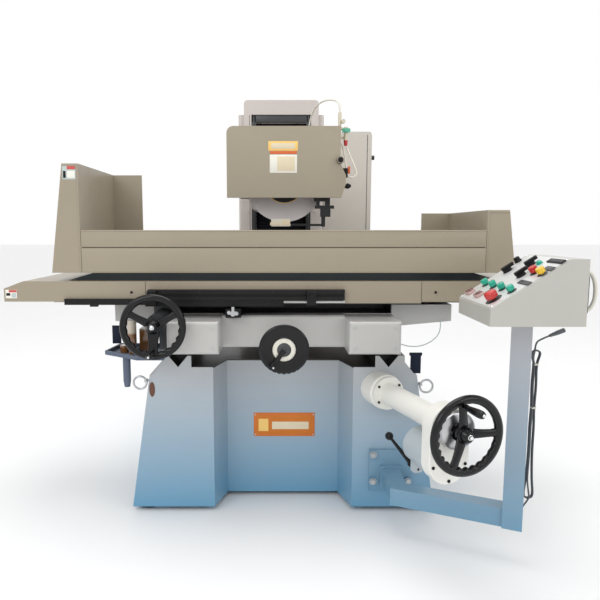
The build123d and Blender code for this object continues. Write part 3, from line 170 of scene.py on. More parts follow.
def enamel(name, colour, rough=0.34, low=None, reflection_top=0.55, reflection_floor=0.0, cloud=0.05, peel=0.05, grime=0.1):
    """Sprayed machine enamel: soft clouding, orange peel, and a little dust that lies unevenly. Given a low colour,
    it also paints a floor reflection that turns it towards that colour near the bottom.
    """
    finish = Finish(name, coat=0.25, coat_rough=0.22)
    at = finish.at
    patches = at.noise(2.3, 3.0)
    dust = at.noise(9.0, 5.0, 0.65).steps(0.5, 0.8)
    body = patches.steps(0.3, 0.7).choose(shade(colour, 1 - cloud), shade(colour, 1 + cloud))
    # Painted reflection: the low colour grows towards the floor and stands in for the floor's light on the enamel.
    if low:
        height = at.part(2).steps(reflection_top, reflection_floor)
        reflection_share = (height + (patches - 0.5) * 0.1).clamp()
        body = reflection_share.choose(body, low)
    body = (dust * grime).choose(body, shade(colour, 0.62))
    finish.set("Base Color", body)
    finish.set("Roughness", patches * 0.12 + dust * 0.1 + (rough - 0.08))
    finish.relief(at.noise(420.0, 2.0) * 0.6 + at.noise(60.0, 1.0) * 0.4, peel)
    return finish.material


def moulded(name, colour, rough=0.4, grain=900.0, depth=0.12, coat=0.0, specular=0.5):
    """Moulded plastic or rubber with a fine skin and a few scuffs."""
    finish = Finish(name, coat=coat, coat_rough=0.08, specular=specular)
    at = finish.at
    scuffs = at.noise(34.0, 6.0, 0.7).steps(0.55, 0.8)
    lighter = tuple(channel * 1.3 + 0.012 for channel in colour)
    finish.set("Base Color", (scuffs * 0.3).choose(colour, lighter))
    finish.set("Roughness", scuffs * 0.18 + rough)
    finish.relief(at.noise(grain, 2.0), depth, 0.0005)
    return finish.material


def bare_metal(name, colour, rough=0.28, along=(1.0, 40.0, 40.0), streak=0.16, metal=1.0):
    """Bare metal with tool marks that run along one direction and a little staining."""
    finish = Finish(name, metal=metal)
    at = finish.at
    marks = at.scaled(*along).noise(60.0, 4.0, 0.6)
    stain = at.noise(14.0, 4.0, 0.6).steps(0.5, 0.85)
    tone = marks.steps(0.3, 0.7).choose(shade(colour, 0.86), shade(colour, 1.08))
    finish.set("Base Color", (stain * 0.25).choose(tone, shade(colour, 0.6)))
    finish.set("Roughness", marks * streak + stain * 0.1 + (rough - streak / 2))
    finish.relief(marks, 0.06, 0.0004)
    return finish.material


GREY = (0.47, 0.475, 0.48)
# Colour of the painted floor reflection on the base's lower part.
FLOOR_REFLECTION_BLUE = (0.115, 0.30, 0.46)
TAUPE = (0.315, 0.268, 0.196)
CONSOLE = (0.45, 0.44, 0.405)

saddle_paint = enamel("saddle_grey_enamel", (0.47, 0.475, 0.475), cloud=0.03)
column_paint = enamel("column_grey_enamel", (0.55, 0.50, 0.47), cloud=0.03)
cabinet_paint = enamel("cabinet_grey_enamel", (0.57, 0.53, 0.475), cloud=0.03, peel=0.03)
# The arm's low colour is a painted floor reflection that turns it blue towards the bottom.
arm_paint = enamel("arm_enamel", (0.42, 0.43, 0.46), low=(0.115, 0.27, 0.40), reflection_top=0.80, reflection_floor=0.10)
taupe = enamel("taupe_sheet_enamel", TAUPE, rough=0.42, cloud=0.05)
door_taupe = enamel("door_enamel", (0.33, 0.288, 0.212), rough=0.4, cloud=0.05)
console_paint = enamel("console_enamel", CONSOLE, rough=0.4, cloud=0.03)
cream = enamel("cream_enamel", (0.80, 0.79, 0.74), rough=0.36, cloud=0.03)
motor_paint = enamel("motor_enamel", (0.42, 0.47, 0.50), rough=0.36)
dark_paint = enamel("dark_enamel", (0.03, 0.032, 0.035), rough=0.45)
plate_metal = bare_metal("panel_plate", (0.80, 0.81, 0.80), 0.42, (1.0, 40.0, 1.0), 0.1, 0.6)
steel = bare_metal("ground_steel", (0.52, 0.53, 0.54), 0.3)
chrome = bare_metal("chrome", (0.78, 0.79, 0.80), 0.14, (8.0, 8.0, 8.0), 0.08)
iron = bare_metal("dark_iron", (0.016, 0.016, 0.019), 0.48, (1.0, 30.0, 30.0), 0.16, 0.4)
gloss_black = moulded("black_enamel_wheel", (0.003, 0.003, 0.004), 0.20, 300.0, 0.04, coat=0.1, specular=0.3)
black = moulded("black_plastic", (0.006, 0.006, 0.007), 0.42, specular=0.25)
rubber = moulded("black_rubber", (0.008, 0.009, 0.012), 0.55, 500.0, 0.25, specular=0.25)
navy = moulded("navy_curtain", (0.006, 0.011, 0.030), 0.6, 700.0, 0.3, specular=0.25)
cable_skin = moulded("cable_sheath", (0.085, 0.095, 0.105), 0.4, 800.0, 0.15)
hose_skin = moulded("hose_plastic", (0.82, 0.76, 0.66), 0.3, 500.0, 0.05)
green = moulded("green_button", (0.0, 0.36, 0.24), 0.22, 400.0, 0.03, coat=0.5)
red = moulded("red_button", (0.5, 0.012, 0.012), 0.24, 400.0, 0.03, coat=0.5)
yellow = moulded("yellow_button", (0.72, 0.45, 0.01), 0.26, 400.0, 0.03, coat=0.5)
green_handle = moulded("green_handle", (0.10, 0.42, 0.28), 0.35)
ivory = moulded("ivory_plastic", (0.68, 0.66, 0.58), 0.36, 500.0, 0.05)


def wheel_grit():
    """Vitrified abrasive: pale grains of many sizes in a porous bond."""
    finish = Finish("abrasive_wheel", specular=0.25)
    at = finish.at
    grain = at.node("ShaderNodeTexVoronoi", {}, {"Vector": at, "Scale": 700.0}, 0)
    tone = at.noise(6.0, 3.0).steps(0.3, 0.7).choose((0.50, 0.46, 0.47), (0.60, 0.56, 0.56))
    finish.set("Base Color", (grain * 0.5).choose(tone, (0.72, 0.70, 0.70)))
    finish.set("Roughness", grain * 0.2 + 0.7)
    finish.relief(grain, 0.5, 0.0008)
    return finish.material


def oil_cup():
    """The brown translucent cup of the oiler, darker where the oil stands."""
    finish = Finish("oil_cup", coat=0.8, coat_rough=0.05)
    at = finish.at
    level = at.part(2).steps(0.735, 0.745)
    wave = at.noise(40.0, 2.0)
    tone = level.choose((0.17, 0.06, 0.012), (0.55, 0.50, 0.42))
    finish.set("Base Color", (wave * 0.3).choose(tone, (0.30, 0.2, 0.1)))
    finish.set("Roughness", wave * 0.1 + 0.1)
    return finish.material


def fittings_finish():
    """Brass cock above, blackened nozzle block below, pale spray block at its end."""
    finish = Finish("coolant_fittings", metal=0.3)
    at = finish.at
    marks = at.noise(90.0, 3.0)
    low = at.part(2) < 1.300
    spray = (at.part(0) < 0.037) * low
    brassy = marks.choose((0.52, 0.47, 0.36), (0.68, 0.62, 0.50))
    tone = low.choose(brassy, (0.014, 0.015, 0.016))
    finish.set("Base Color", spray.choose(tone, (0.70, 0.66, 0.56)))
    finish.set("Roughness", marks * 0.2 + 0.3)
    finish.relief(marks, 0.1)
    return finish.material


def dog_rail_finish():
    """Blackened rails, worn bright along their edges."""
    finish = Finish("dog_rails", metal=0.4, specular=0.3)
    at = finish.at
    wear = at.scaled(1.0, 30.0, 30.0).noise(30.0, 5.0, 0.65).steps(0.55, 0.85)
    rod = (at.part(0) > 0.0005) * (at.part(2) < 0.8795)
    tone = (wear * 0.25).choose((0.012, 0.012, 0.012), (0.10, 0.10, 0.10))
    finish.set("Base Color", rod.choose(tone, (0.6, 0.6, 0.6)))
    finish.set("Roughness", wear * 0.2 + 0.38)
    finish.relief(wear, 0.1)
    return finish.material


def chuck_finish():
    """The chuck's face: bright steel strips between thin brass lines, ground lengthwise."""
    finish = Finish("chuck_face", metal=1.0)
    at = finish.at
    place = at.part(0) * 60.0
    strip = at.maths("FRACT", place) < 0.16
    marks = at.scaled(1.0, 60.0, 60.0).noise(80.0, 4.0, 0.6)
    tone = marks.choose((0.46, 0.47, 0.48), (0.62, 0.63, 0.64))
    finish.set("Base Color", strip.choose(tone, (0.62, 0.48, 0.25)))
    finish.set("Roughness", marks * 0.2 + 0.22)
    finish.relief(marks, 0.08)
    return finish.material


def painted(name, colour, dark, masks, low=None, reflection_top=0.55, reflection_floor=0.0, rough=0.34):
    """Casting enamel that turns near black where its masks say: painted shade in channels, on shadowed ledges and in
    gaps, and the own colour of real black parts. A low colour adds a painted floor reflection towards the bottom.
    """
    finish = Finish(name, coat=0.25, coat_rough=0.22)
    at = finish.at
    patches = at.noise(2.3, 3.0)
    dust = at.noise(9.0, 5.0, 0.65).steps(0.5, 0.8)
    body = patches.steps(0.3, 0.7).choose(shade(colour, 0.97), shade(colour, 1.03))
    # Painted reflection of the floor: the low colour grows towards the bottom.
    if low:
        height = at.part(2).steps(reflection_top, reflection_floor)
        body = (height + (patches - 0.5) * 0.1).clamp().choose(body, low)
    body = (dust * 0.1).choose(body, shade(colour, 0.62))
    # The masks mark painted shade, and for some finishes a real black part such as a handle.
    shade_and_black_parts = masks(at).clamp()
    finish.set("Base Color", shade_and_black_parts.choose(body, dark))
    finish.set("Roughness", patches * 0.12 + dust * 0.1 + shade_and_black_parts * 0.15 + (rough - 0.08))
    finish.relief(at.noise(420.0, 2.0) * 0.6 + at.noise(60.0, 1.0) * 0.4, 0.05)
    return finish.material


def between(value, low, high, soft=0.004):
    """1 where the value lies between the two limits, with a soft edge."""
    return value.steps(low - soft, low + soft).clamp() * value.steps(high + soft, high - soft).clamp()


def saddle_finish():
    """The saddle, with painted shade: dark under its bottom face, on the shelf below the table and on its back top,
    where shadow falls.
    """
    def masks(at):
        x, y, z = at.part(0), at.part(1), at.part(2)
        # Painted shade: these masks darken what lies in shadow under the table and below the saddle.
        ledge_shade = between(z, 0.8135, 0.8475, 0.001) * (y > -0.545) * between(x, -0.434, 0.434, 0.001)
        back_shade = between(z, 0.800, 0.8485, 0.0005) * between(y, -0.50, 0.0, 0.03) * between(x, -0.60, 0.60, 0.02)
        return ledge_shade + (z < 0.6885) + back_shade
    return painted("saddle_enamel", (0.46, 0.455, 0.44), (0.006, 0.006, 0.006), masks)


def base_finish():
    """The base: pale grey above, turning blue towards the floor in a painted floor reflection, with painted shade
    dark inside the bed and between the ways under the saddle.
    """
    def masks(at):
        y, z = at.part(1), at.part(2)
        # Painted shade on the top of the bed, where the saddle shades it.
        return (z > 0.5995) * (y > -0.5985)
    return painted("base_enamel", GREY, (0.006, 0.006, 0.005), masks, FLOOR_REFLECTION_BLUE, 0.66, 0.02)


def table_finish():
    """The table: taupe apron and ends, with painted shade dark on the slopes and deck behind the guard and on its
    underside.
    """
    def masks(at):
        x, z = at.part(0), at.part(2)
        # Painted shade: the deck behind the guard and the table's underside are dark because they lie in shadow.
        return (z > 0.9515) * between(x, -0.845, 0.80, 0.04) + (z < 0.8655)
    return painted("table_enamel", TAUPE, (0.006, 0.016, 0.022), masks, rough=0.42)


def tray_finish():
    """The drip tray: light dish over a blue-grey drain tube."""
    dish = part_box("drip_tray")[1].z - 0.024
    return painted("tray_enamel", (0.46, 0.44, 0.40), (0.075, 0.10, 0.155), lambda at: at.part(2) < dish)


def cabinet_door_finish():
    """The cabinet door: light sheet with a black handle."""
    def masks(at):
        return (at.part(0) > 0.4862) * (at.part(1) < 0.40)
    return painted("cabinet_door_enamel", (0.57, 0.53, 0.475), (0.012, 0.012, 0.013), masks)


FINISH = {
    "base_casting": base_finish(), "levelling_feet": iron, "column": column_paint, "column_frame": column_paint,
    "electrical_cabinet": cabinet_paint, "cabinet_door": cabinet_door_finish(), "feed_tube": cream,
    "feed_case": cream, "feed_motor": motor_paint, "console_arm": arm_paint, "console_box": console_paint,
    "console_panel": plate_metal, "cable_plug": cable_skin, "lift_screw": steel, "feed_grip": gloss_black,
    "clutch_lever": black, "saddle_casting": saddle_finish(), "reversing_valve": black, "reversing_lever": steel,
    "drip_tray": tray_finish(), "lubricator": oil_cup(), "wheel_bracket": dark_paint, "table_cylinder": steel,
    "table_grip": gloss_black, "cross_screw": steel, "cross_grip": gloss_black, "table_casting": table_finish(),
    "table_covers": taupe, "magnetic_chuck": chuck_finish(), "splash_guard": taupe,
    "dog_rails": dog_rail_finish(), "piston_rod": chrome, "trip_dog_left": black, "trip_dog_right": black,
    "head_casting": column_paint, "spindle_motor": dark_paint, "wheel_guard": taupe, "guard_door": door_taupe,
    "coolant_fittings": fittings_finish(), "valve_lever": green_handle, "spindle_shaft": iron,
    "grinding_wheel": wheel_grit(), "emergency_stop": red, "red_button": red, "yellow_button": yellow,
    "selector_1": black, "selector_2": black, "selector_3": black, "bellows_upper": rubber,
    "bellows_lower": rubber, "table_handwheel": gloss_black, "feed_handwheel": gloss_black,
    "cross_handwheel": gloss_black, "cable_hank": cable_skin, "cable_leads": cable_skin,
    "coolant_hose": hose_skin,
}
for number in (1, 2, 3, 4):
    FINISH[f"green_button_{number}"] = green
for name, part in frame["nodes"].items():
    part.data.materials.clear()
    part.data.materials.append(FINISH[name])


# ---- making pieces ----------------------------------------------------------------
def place(obj, material, body, smooth=True, angle=35):
    """Gives a new piece its finish and the body it moves with."""
    obj.data.materials.append(material)
    if obj.type == "MESH":
        for face in obj.data.polygons:
            face.use_smooth = smooth
        if smooth:
            obj.data.set_sharp_from_angle(angle=radians(angle))
    if body:
        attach(obj, body)
    return obj


def mesh_piece(name, bm, material, body, matrix=None, smooth=True, angle=35):
    bmesh.ops.recalc_face_normals(bm, faces=bm.faces)
    if matrix is not None:
        bm.transform(matrix)
    mesh = bpy.data.meshes.new(name)
    bm.to_mesh(mesh)
    bm.free()
    obj = bpy.data.objects.new(name, mesh)
    bpy.context.scene.collection.objects.link(obj)
    return place(obj, material, body, smooth, angle)


def add_block(bm, low, high, round_by=0.0, steps=3, matrix=None):
    """Adds a block between two corners, with rounded edges, to a mesh."""
    verts = bmesh.ops.create_cube(bm, size=1.0)["verts"]
    low, high = Vector(low), Vector(high)
    size = high - low
    middle = (high + low) / 2
    for vert in verts:
        vert.co = Vector(vert.co[i] * size[i] + middle[i] for i in range(3))
    edges = list({edge for vert in verts for edge in vert.link_edges})
    if round_by:
        made = bmesh.ops.bevel(bm, geom=edges, offset=round_by, segments=steps, profile=0.5, affect="EDGES")
        verts = list({vert for face in made["faces"] for vert in face.verts} | {v for v in verts if v.is_valid})
    if matrix is not None:
        bmesh.ops.transform(bm, matrix=matrix, verts=verts)
    return verts


def add_turned(bm, profile, matrix=None, count=48, wave=None):
    """Adds a turned shape: (radius, height) points swept about Z."""
    rings = []
    for step in range(count):
        turn = 2 * pi * step / count
        ring = []
        for index, (r, z) in enumerate(profile):
            reach = r if wave is None else wave(index, turn, r)
            ring.append(bm.verts.new((reach * cos(turn), reach * sin(turn), z)))
        rings.append(ring)
    verts = [vert for ring in rings for vert in ring]
    for step in range(count):
        here, there = rings[step], rings[(step + 1) % count]
        for i in range(len(profile) - 1):
            bm.faces.new((here[i], there[i], there[i + 1], here[i + 1]))
    for i, (r, _) in enumerate(profile):
        if r < 1e-6:
            bmesh.ops.remove_doubles(bm, verts=[ring[i] for ring in rings], dist=1e-6)
    verts = [vert for vert in verts if vert.is_valid]
    if matrix is not None:
        bmesh.ops.transform(bm, matrix=matrix, verts=verts)
    return verts


def add_bar(bm, sections, sides, turn):
    """Adds a bar of oval sections: its reach, half width, height and half thickness at each."""
    rings = []
    for reach, half, height, thick in sections:
        ring = []
        for step in range(sides):
            around = 2 * pi * step / sides
            ring.append(bm.verts.new(turn @ Vector((reach, half * cos(around), height + thick * sin(around)))))
        rings.append(ring)
    for here, there in zip(rings, rings[1:]):
        for i in range(sides):
            bm.faces.new((here[i], here[(i + 1) % sides], there[(i + 1) % sides], there[i]))


def blocks_piece(name, blocks, material, body, matrix=None):
    """One piece made of several blocks, each given as add_block takes it."""
    bm = bmesh.new()
    for block in blocks:
        add_block(bm, *block)
    return mesh_piece(name, bm, material, body, matrix)


def block_piece(name, low, high, round_by, material, body, matrix=None):
    return blocks_piece(name, [(low, high, round_by)], material, body, matrix)


def turned_piece(name, profile, material, body, matrix=None, count=48, wave=None, angle=35):
    bm = bmesh.new()
    add_turned(bm, profile, None, count, wave)
    return mesh_piece(name, bm, material, body, matrix, angle=angle)


def rod_piece(name, points, radius, material, body, order=3, resolution=10):
    """A round rod or hose along a smooth line through its control points."""
    curve = bpy.data.curves.new(name, "CURVE")
    curve.dimensions = "3D"
    curve.bevel_depth = radius
    curve.bevel_resolution = 4
    curve.use_fill_caps = True
    spline = curve.splines.new("NURBS")
    spline.points.add(len(points) - 1)
    for point, place_at in zip(spline.points, points):
        point.co = (*place_at, 1.0)
    spline.order_u = order
    spline.use_endpoint_u = True
    spline.resolution_u = resolution
    obj = bpy.data.objects.new(name, curve)
    bpy.context.scene.collection.objects.link(obj)
    return place(obj, material, body)


def shaft_frame(joint):
    """A frame at a hinge whose Z is the hinge's axis, whose Y is up and whose X is across."""
    axis = Vector(JOINTS[joint]["axis"]).normalized()
    up = Vector((0, 0, 1))
    across = up.cross(axis).normalized()
    turn = Matrix((across, up, axis)).transposed().to_4x4()
    return Matrix.Translation(Vector(JOINTS[joint]["pos_m"])) @ turn


def facing(centre, normal, up=(0, 0, 1)):
    """A frame at a point whose Z is a surface's normal and whose Y is up along it."""
    z = Vector(normal).normalized()
    x = Vector(up).cross(z).normalized()
    y = z.cross(x)
    return Matrix.Translation(Vector(centre)) @ Matrix((x, y, z)).transposed().to_4x4()


FRONT = (0, -1, 0)
SIDES = ((-1, "left"), (1, "right"))


def screw_heads(name, spots, radius, height, material, body, normal=FRONT, socket=True, sides=32):
    """Cap screws with a socket in the head, or hexagon heads, set on a surface."""
    bm = bmesh.new()
    for spot in spots:
        matrix = facing(spot, normal)
        inner = radius * 0.5
        if socket:
            profile = [
                (0, height * 0.35), (inner, height * 0.35), (inner, height * 0.95), (radius * 0.85, height),
                (radius, height * 0.8), (radius, 0),
            ]
            add_turned(bm, profile, matrix, sides)
        else:
            add_turned(bm, [(0, height), (radius * 0.86, height), (radius, height * 0.75), (radius, 0)], matrix, 6)
            add_turned(bm, [(radius, height * 0.1), (radius * 1.35, height * 0.1), (radius * 1.35, 0)], matrix, 24)
    return mesh_piece(name, bm, material, body)


def panel_label(name, low, high, front, bands, body, normal_out=0.0009):
    """A printed plate on a front face, made of plain colour bands.

    Each band holds its bottom, top, left and right as shares of the plate, its material and its lift.
    """
    x0, z0 = low
    x1, z1 = high
    for index, (bottom, top, left, right, material, lift) in enumerate(bands):
        corner = (x0 + (x1 - x0) * left, front - normal_out - lift, z0 + (z1 - z0) * bottom)
        other = (x0 + (x1 - x0) * right, front - 0.00005, z0 + (z1 - z0) * top)
        blocks_piece(f"{name}_{index + 1}", [(corner, other, 0.0003, 2)], material, body)


label_white = moulded("label_white", (0.80, 0.78, 0.70), 0.45, 300.0, 0.02)
label_cream = moulded("label_cream", (0.72, 0.62, 0.44), 0.45, 300.0, 0.02)
label_orange = moulded("label_orange", (0.68, 0.13, 0.03), 0.45, 300.0, 0.02)
label_yellow = moulded("label_yellow", (0.86, 0.56, 0.16), 0.45, 300.0, 0.02)
label_red = moulded("label_red", (0.55, 0.08, 0.07), 0.45, 300.0, 0.02)
label_grey = moulded("label_grey", (0.45, 0.52, 0.50), 0.45, 300.0, 0.02)
nameplate_orange = bare_metal("nameplate_orange", (0.60, 0.17, 0.012), 0.34, (1.0, 30.0, 30.0), 0.12, 0.25)


# ---- handwheels -------------------------------------------------------------------
def handwheel(name, joint, body, radius, rim, hub, hub_back, hub_front, spokes, widths, ripple):
    """A black enamelled handwheel with a finger-gripped rim, tapered spokes and a turned hub.

    ripple holds the depth of the finger grips, their number and the angle where they are deepest.
    """
    depth, count, deepest = ripple
    matrix = shaft_frame(joint)
    ring = radius - rim
    bm = bmesh.new()
    sides = 20
    profile = []
    for step in range(sides + 1):
        angle = 2 * pi * step / sides
        profile.append((ring + rim * cos(angle), rim * 0.92 * sin(angle)))

    def wave(index, turn, r):
        inward = max(0.0, -cos(2 * pi * index / sides))
        share = 0.5 + 0.5 * cos(turn - deepest)
        return r + inward * depth * cos(count * turn) * share

    add_turned(bm, profile, None, 192, wave)
    for angle, width in zip(spokes, widths):
        turn = Matrix.Rotation(radians(angle), 4, "Z")
        sections = []
        for share in (0.0, 0.2, 0.45, 0.7, 0.9, 1.0):
            reach = hub * 0.7 + (ring - hub * 0.7) * share
            half = width / 2 * (1.15 - 0.55 * share + 0.65 * share**6)
            height = -hub_back * 0.35 * (1 - share) ** 2
            sections.append((reach, half, height, rim * (0.62 - 0.1 * share)))
        add_bar(bm, sections, 14, turn)
    profile = [
        (0, hub_front), (hub * 0.55, hub_front), (hub * 0.62, hub_front - 0.002), (hub * 0.72, hub_front * 0.55),
        (hub, 0.001), (hub * 1.02, -0.006), (hub * 0.98, -hub_back * 0.5), (hub * 0.82, -hub_back + 0.003),
        (hub * 0.76, -hub_back), (0, -hub_back),
    ]
    add_turned(bm, profile, None, 64)
    wheel = mesh_piece(name, bm, gloss_black, body, matrix, angle=50)
    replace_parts(wheel, body)
    nut = [
        (0, hub_front + 0.010), (hub * 0.18, hub_front + 0.010), (hub * 0.24, hub_front + 0.008),
        (hub * 0.25, hub_front + 0.002), (hub * 0.32, hub_front + 0.001), (hub * 0.33, hub_front - 0.003),
    ]
    turned_piece(name + "_nut", nut, chrome, body, matrix, 48)
    return matrix


table_wheel = handwheel(
    "table_wheel", "table_feed", "table_handwheel", 0.120, 0.0135, 0.027, 0.030, 0.020,
    (30, 150, 270), (0.029, 0.029, 0.040), (0.0030, 22, radians(285)),
)
shaft = [(0.014, -0.028), (0.014, -0.2395), (0, -0.2395)]
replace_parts(turned_piece("table_wheel_shaft", shaft, steel, "table_handwheel", table_wheel), "table_handwheel")

feed_wheel = handwheel(
    "feed_wheel", "vertical_feed", "feed_handwheel", 0.130, 0.014, 0.027, 0.046, 0.016,
    (0, 102, 244), (0.030, 0.032, 0.034), (0.0040, 26, radians(230)),
)
dial = [
    (0.030, -0.040), (0.056, -0.040), (0.061, -0.043), (0.062, -0.046), (0.062, -0.074), (0.059, -0.078),
    (0.020, -0.078),
]
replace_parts(turned_piece("feed_dial", dial, steel, "feed_handwheel", feed_wheel, 96), "feed_handwheel")
shaft = [(0.012, -0.076), (0.012, -0.5055), (0, -0.5055)]
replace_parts(turned_piece("feed_shaft", shaft, steel, "feed_handwheel", feed_wheel), "feed_handwheel")


def dial_marks(name, matrix, radius, front, count, long_every, material, body, length=0.006):
    """Fine engraved graduation lines around a dial's front edge."""
    bm = bmesh.new()
    for index in range(count):
        turn = Matrix.Rotation(2 * pi * index / count, 4, "Z")
        reach = length if index % long_every == 0 else length * 0.6
        add_block(bm, (radius - reach, -0.0003, front), (radius, 0.0003, front + 0.0004), 0, 1, turn)
    return mesh_piece(name, bm, material, body, matrix, smooth=False)


CROSS_GRIP_RING = 0.068
CROSS_GRIP_ANGLE = 235


def cross_handwheel():
    """The solid black cross feed wheel with its pale dial ring and its dark hub."""
    matrix = shaft_frame("cross_feed")
    bm = bmesh.new()
    disc = [
        (0.016, -0.007), (0.080, -0.007), (0.087, -0.006), (0.0915, -0.002), (0.092, 0.001), (0.090, 0.005),
        (0.085, 0.0068), (0.080, 0.0068), (0.074, 0.0045), (0.046, 0.0045), (0.044, 0.0065), (0.016, 0.0065),
    ]

    def notch(index, turn, r):
        deep = 1 if 2 <= index <= 6 else 0
        low = max(0.0, -sin(turn)) ** 4
        return r - deep * 0.003 * max(0.0, cos(30 * turn)) * low

    add_turned(bm, disc, None, 240, notch)
    drum = [(0.016, -0.068), (0.043, -0.068), (0.046, -0.065), (0.046, -0.008), (0.016, -0.007)]
    add_turned(bm, drum, None, 96)
    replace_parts(mesh_piece("cross_wheel", bm, gloss_black, "cross_screw", matrix, angle=45), "cross_handwheel")
    ring = [
        (0.0255, 0.0062), (0.0255, 0.0084), (0.0272, 0.0092), (0.0400, 0.0092), (0.0418, 0.0080), (0.0418, 0.0060),
    ]
    turned_piece("cross_dial", ring, ivory, "cross_screw", matrix, 96)
    dial_marks("cross_dial_marks", matrix, 0.0412, 0.0090, 50, 5, black, "cross_screw", 0.007)
    hub = [
        (0, 0.0165), (0.008, 0.0165), (0.009, 0.0145), (0.017, 0.0140), (0.0195, 0.0115), (0.0235, 0.0100),
        (0.0245, 0.0064),
    ]
    turned_piece("cross_hub", hub, dark_paint, "cross_screw", matrix)
    bm = bmesh.new()
    sections = []
    shape = ((0.0, 0.0100, 0.0060), (0.3, 0.0092, 0.0056), (0.7, 0.0082, 0.0050), (1.0, 0.0078, 0.0046))
    for share, half, thick in shape:
        sections.append((CROSS_GRIP_RING * share, half, 0.0150 - 0.0035 * share, thick))
    add_bar(bm, sections, 16, Matrix.Identity(4))
    boss = [(0, 0.0175), (0.0075, 0.0172), (0.0100, 0.0150), (0.0100, 0.0068), (0, 0.0066)]
    add_turned(bm, boss, Matrix.Translation((CROSS_GRIP_RING, 0, 0)), 32)
    turn = Matrix.Rotation(radians(CROSS_GRIP_ANGLE), 4, "Z")
    mesh_piece("cross_crank", bm, gloss_black, "cross_screw", matrix @ turn, angle=50)


cross_handwheel()


def grip_tops():
    """Turned grips with a waist and a chrome end ring in front of each pin."""
    for node, joint, ring, angle, radius, start, length in (
        ("table_grip", "table_feed", 0.092, 270, 0.012, 0.015, 0.075),
        ("feed_grip", "vertical_feed", 0.099, 102, 0.013, 0.015, 0.088),
        ("cross_grip", "cross_feed", CROSS_GRIP_RING, CROSS_GRIP_ANGLE, 0.009, 0.009, 0.046),
    ):
        name = node + "_barrel"
        matrix = shaft_frame(joint)
        shift = Matrix.Translation((ring * cos(radians(angle)), ring * sin(radians(angle)), 0))
        r = radius
        end = start + length
        profile = [
            (0.0048, -0.0155), (0.0048, start + 0.0005), (r * 0.72, start + 0.0005), (r * 0.80, start + 0.003),
            (r * 0.70, start + length * 0.15), (r * 0.84, start + length * 0.4), (r * 0.99, start + length * 0.68),
            (r * 0.93, start + length * 0.86), (r * 0.74, end - 0.006), (r * 0.45, end - 0.002), (0, end - 0.001),
        ]
        piece = turned_piece(name, profile, gloss_black, node, matrix @ shift, 40, angle=60)
        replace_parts(piece, node)
        cap = [(0, end + 0.0005), (r * 0.34, end - 0.0002), (r * 0.42, end - 0.0024)]
        turned_piece(name + "_cap", cap, chrome, node, matrix @ shift, 32)


grip_tops()


# ---- bellows ----------------------------------------------------------------------
def bellows(name, node):
    """A pleated cover, built once in the box of its part."""
    low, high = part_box(node)
    count = max(6, round((high.z - low.z) / 0.017))
    bm = bmesh.new()
    rings = []
    for step in range(2 * count + 1):
        z = low.z + (high.z - low.z) * step / (2 * count)
        inset = 0.0 if step % 2 else 0.007
        x0, x1 = low.x + inset * 0.6, high.x - inset * 0.6
        y0, y1 = low.y + inset, high.y - inset
        rings.append([bm.verts.new(c) for c in ((x0, y0, z), (x1, y0, z), (x1, y1, z), (x0, y1, z))])
    for here, there in zip(rings, rings[1:]):
        for i in range(4):
            bm.faces.new((here[i], here[(i + 1) % 4], there[(i + 1) % 4], there[i]))
    bm.faces.new(rings[0])
    bm.faces.new(rings[-1])
    piece = mesh_piece(name, bm, rubber, None, smooth=False)
    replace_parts(piece, node)
    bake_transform(piece)


bellows("pleated_cover_upper", "bellows_upper")
bellows("pleated_cover_lower", "bellows_lower")


switch_rose = moulded("switch_rose", (0.50, 0.33, 0.31), 0.4, 500.0, 0.05)
dark_rose = moulded("switch_digits", (0.16, 0.07, 0.065), 0.35, 500.0, 0.05)


# ---- console ----------------------------------------------------------------------
def panel_matrix():
    """The frame of the sloped panel: X up the slope, Y across it, Z out of it."""
    axis = -Vector(JOINTS["emergency_stop_press"]["axis"])
    low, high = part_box("console_box")
    along = Vector((axis.z, 0, -axis.x))
    turn = Matrix((along, Vector((0, 1, 0)), axis)).transposed().to_4x4()
    return Matrix.Translation((low.x, (low.y + high.y) / 2, low.z + 0.053)) @ turn


PANEL = panel_matrix()
PLATE = 0.003
CONTROLS = {
    "emergency_stop": (0.038, -0.092, 0.020),
    "green_button_1": (0.091, 0.097, 0.012),
    "green_button_2": (0.091, 0.026, 0.012),
    "green_button_3": (0.091, -0.047, 0.012),
    "green_button_4": (0.091, -0.118, 0.012),
    "red_button": (0.190, -0.084, 0.013),
    "yellow_button": (0.190, -0.134, 0.013),
    "selector_1": (0.176, 0.097, 0.012),
    "selector_2": (0.166, -0.032, 0.012),
    "selector_3": (0.224, 0.012, 0.012),
}


def control_collars():
    """A fluted collar and a flat gasket under each button and selector."""
    bm = bmesh.new()
    for name, (s, y, r) in CONTROLS.items():
        matrix = Matrix.Translation((s, y, PLATE))
        reach = r + (0.004 if "selector" not in name else 0.0052)
        inner = 0.0075
        if "selector" in name:
            profile = [(inner, 0), (inner, 0.0004), (reach, 0.0004), (reach, 0)]
        elif "emergency" in name:
            profile = [(inner, 0), (inner, 0.0006), (0.024, 0.0006), (0.027, 0)]
        else:
            profile = [(inner, 0), (inner, 0.0012), (reach - 0.002, 0.0012), (reach, 0.0002), (reach, 0)]
        add_turned(bm, profile, matrix, 64)
    mesh_piece("control_collars", bm, dark_paint, "machine", PANEL)


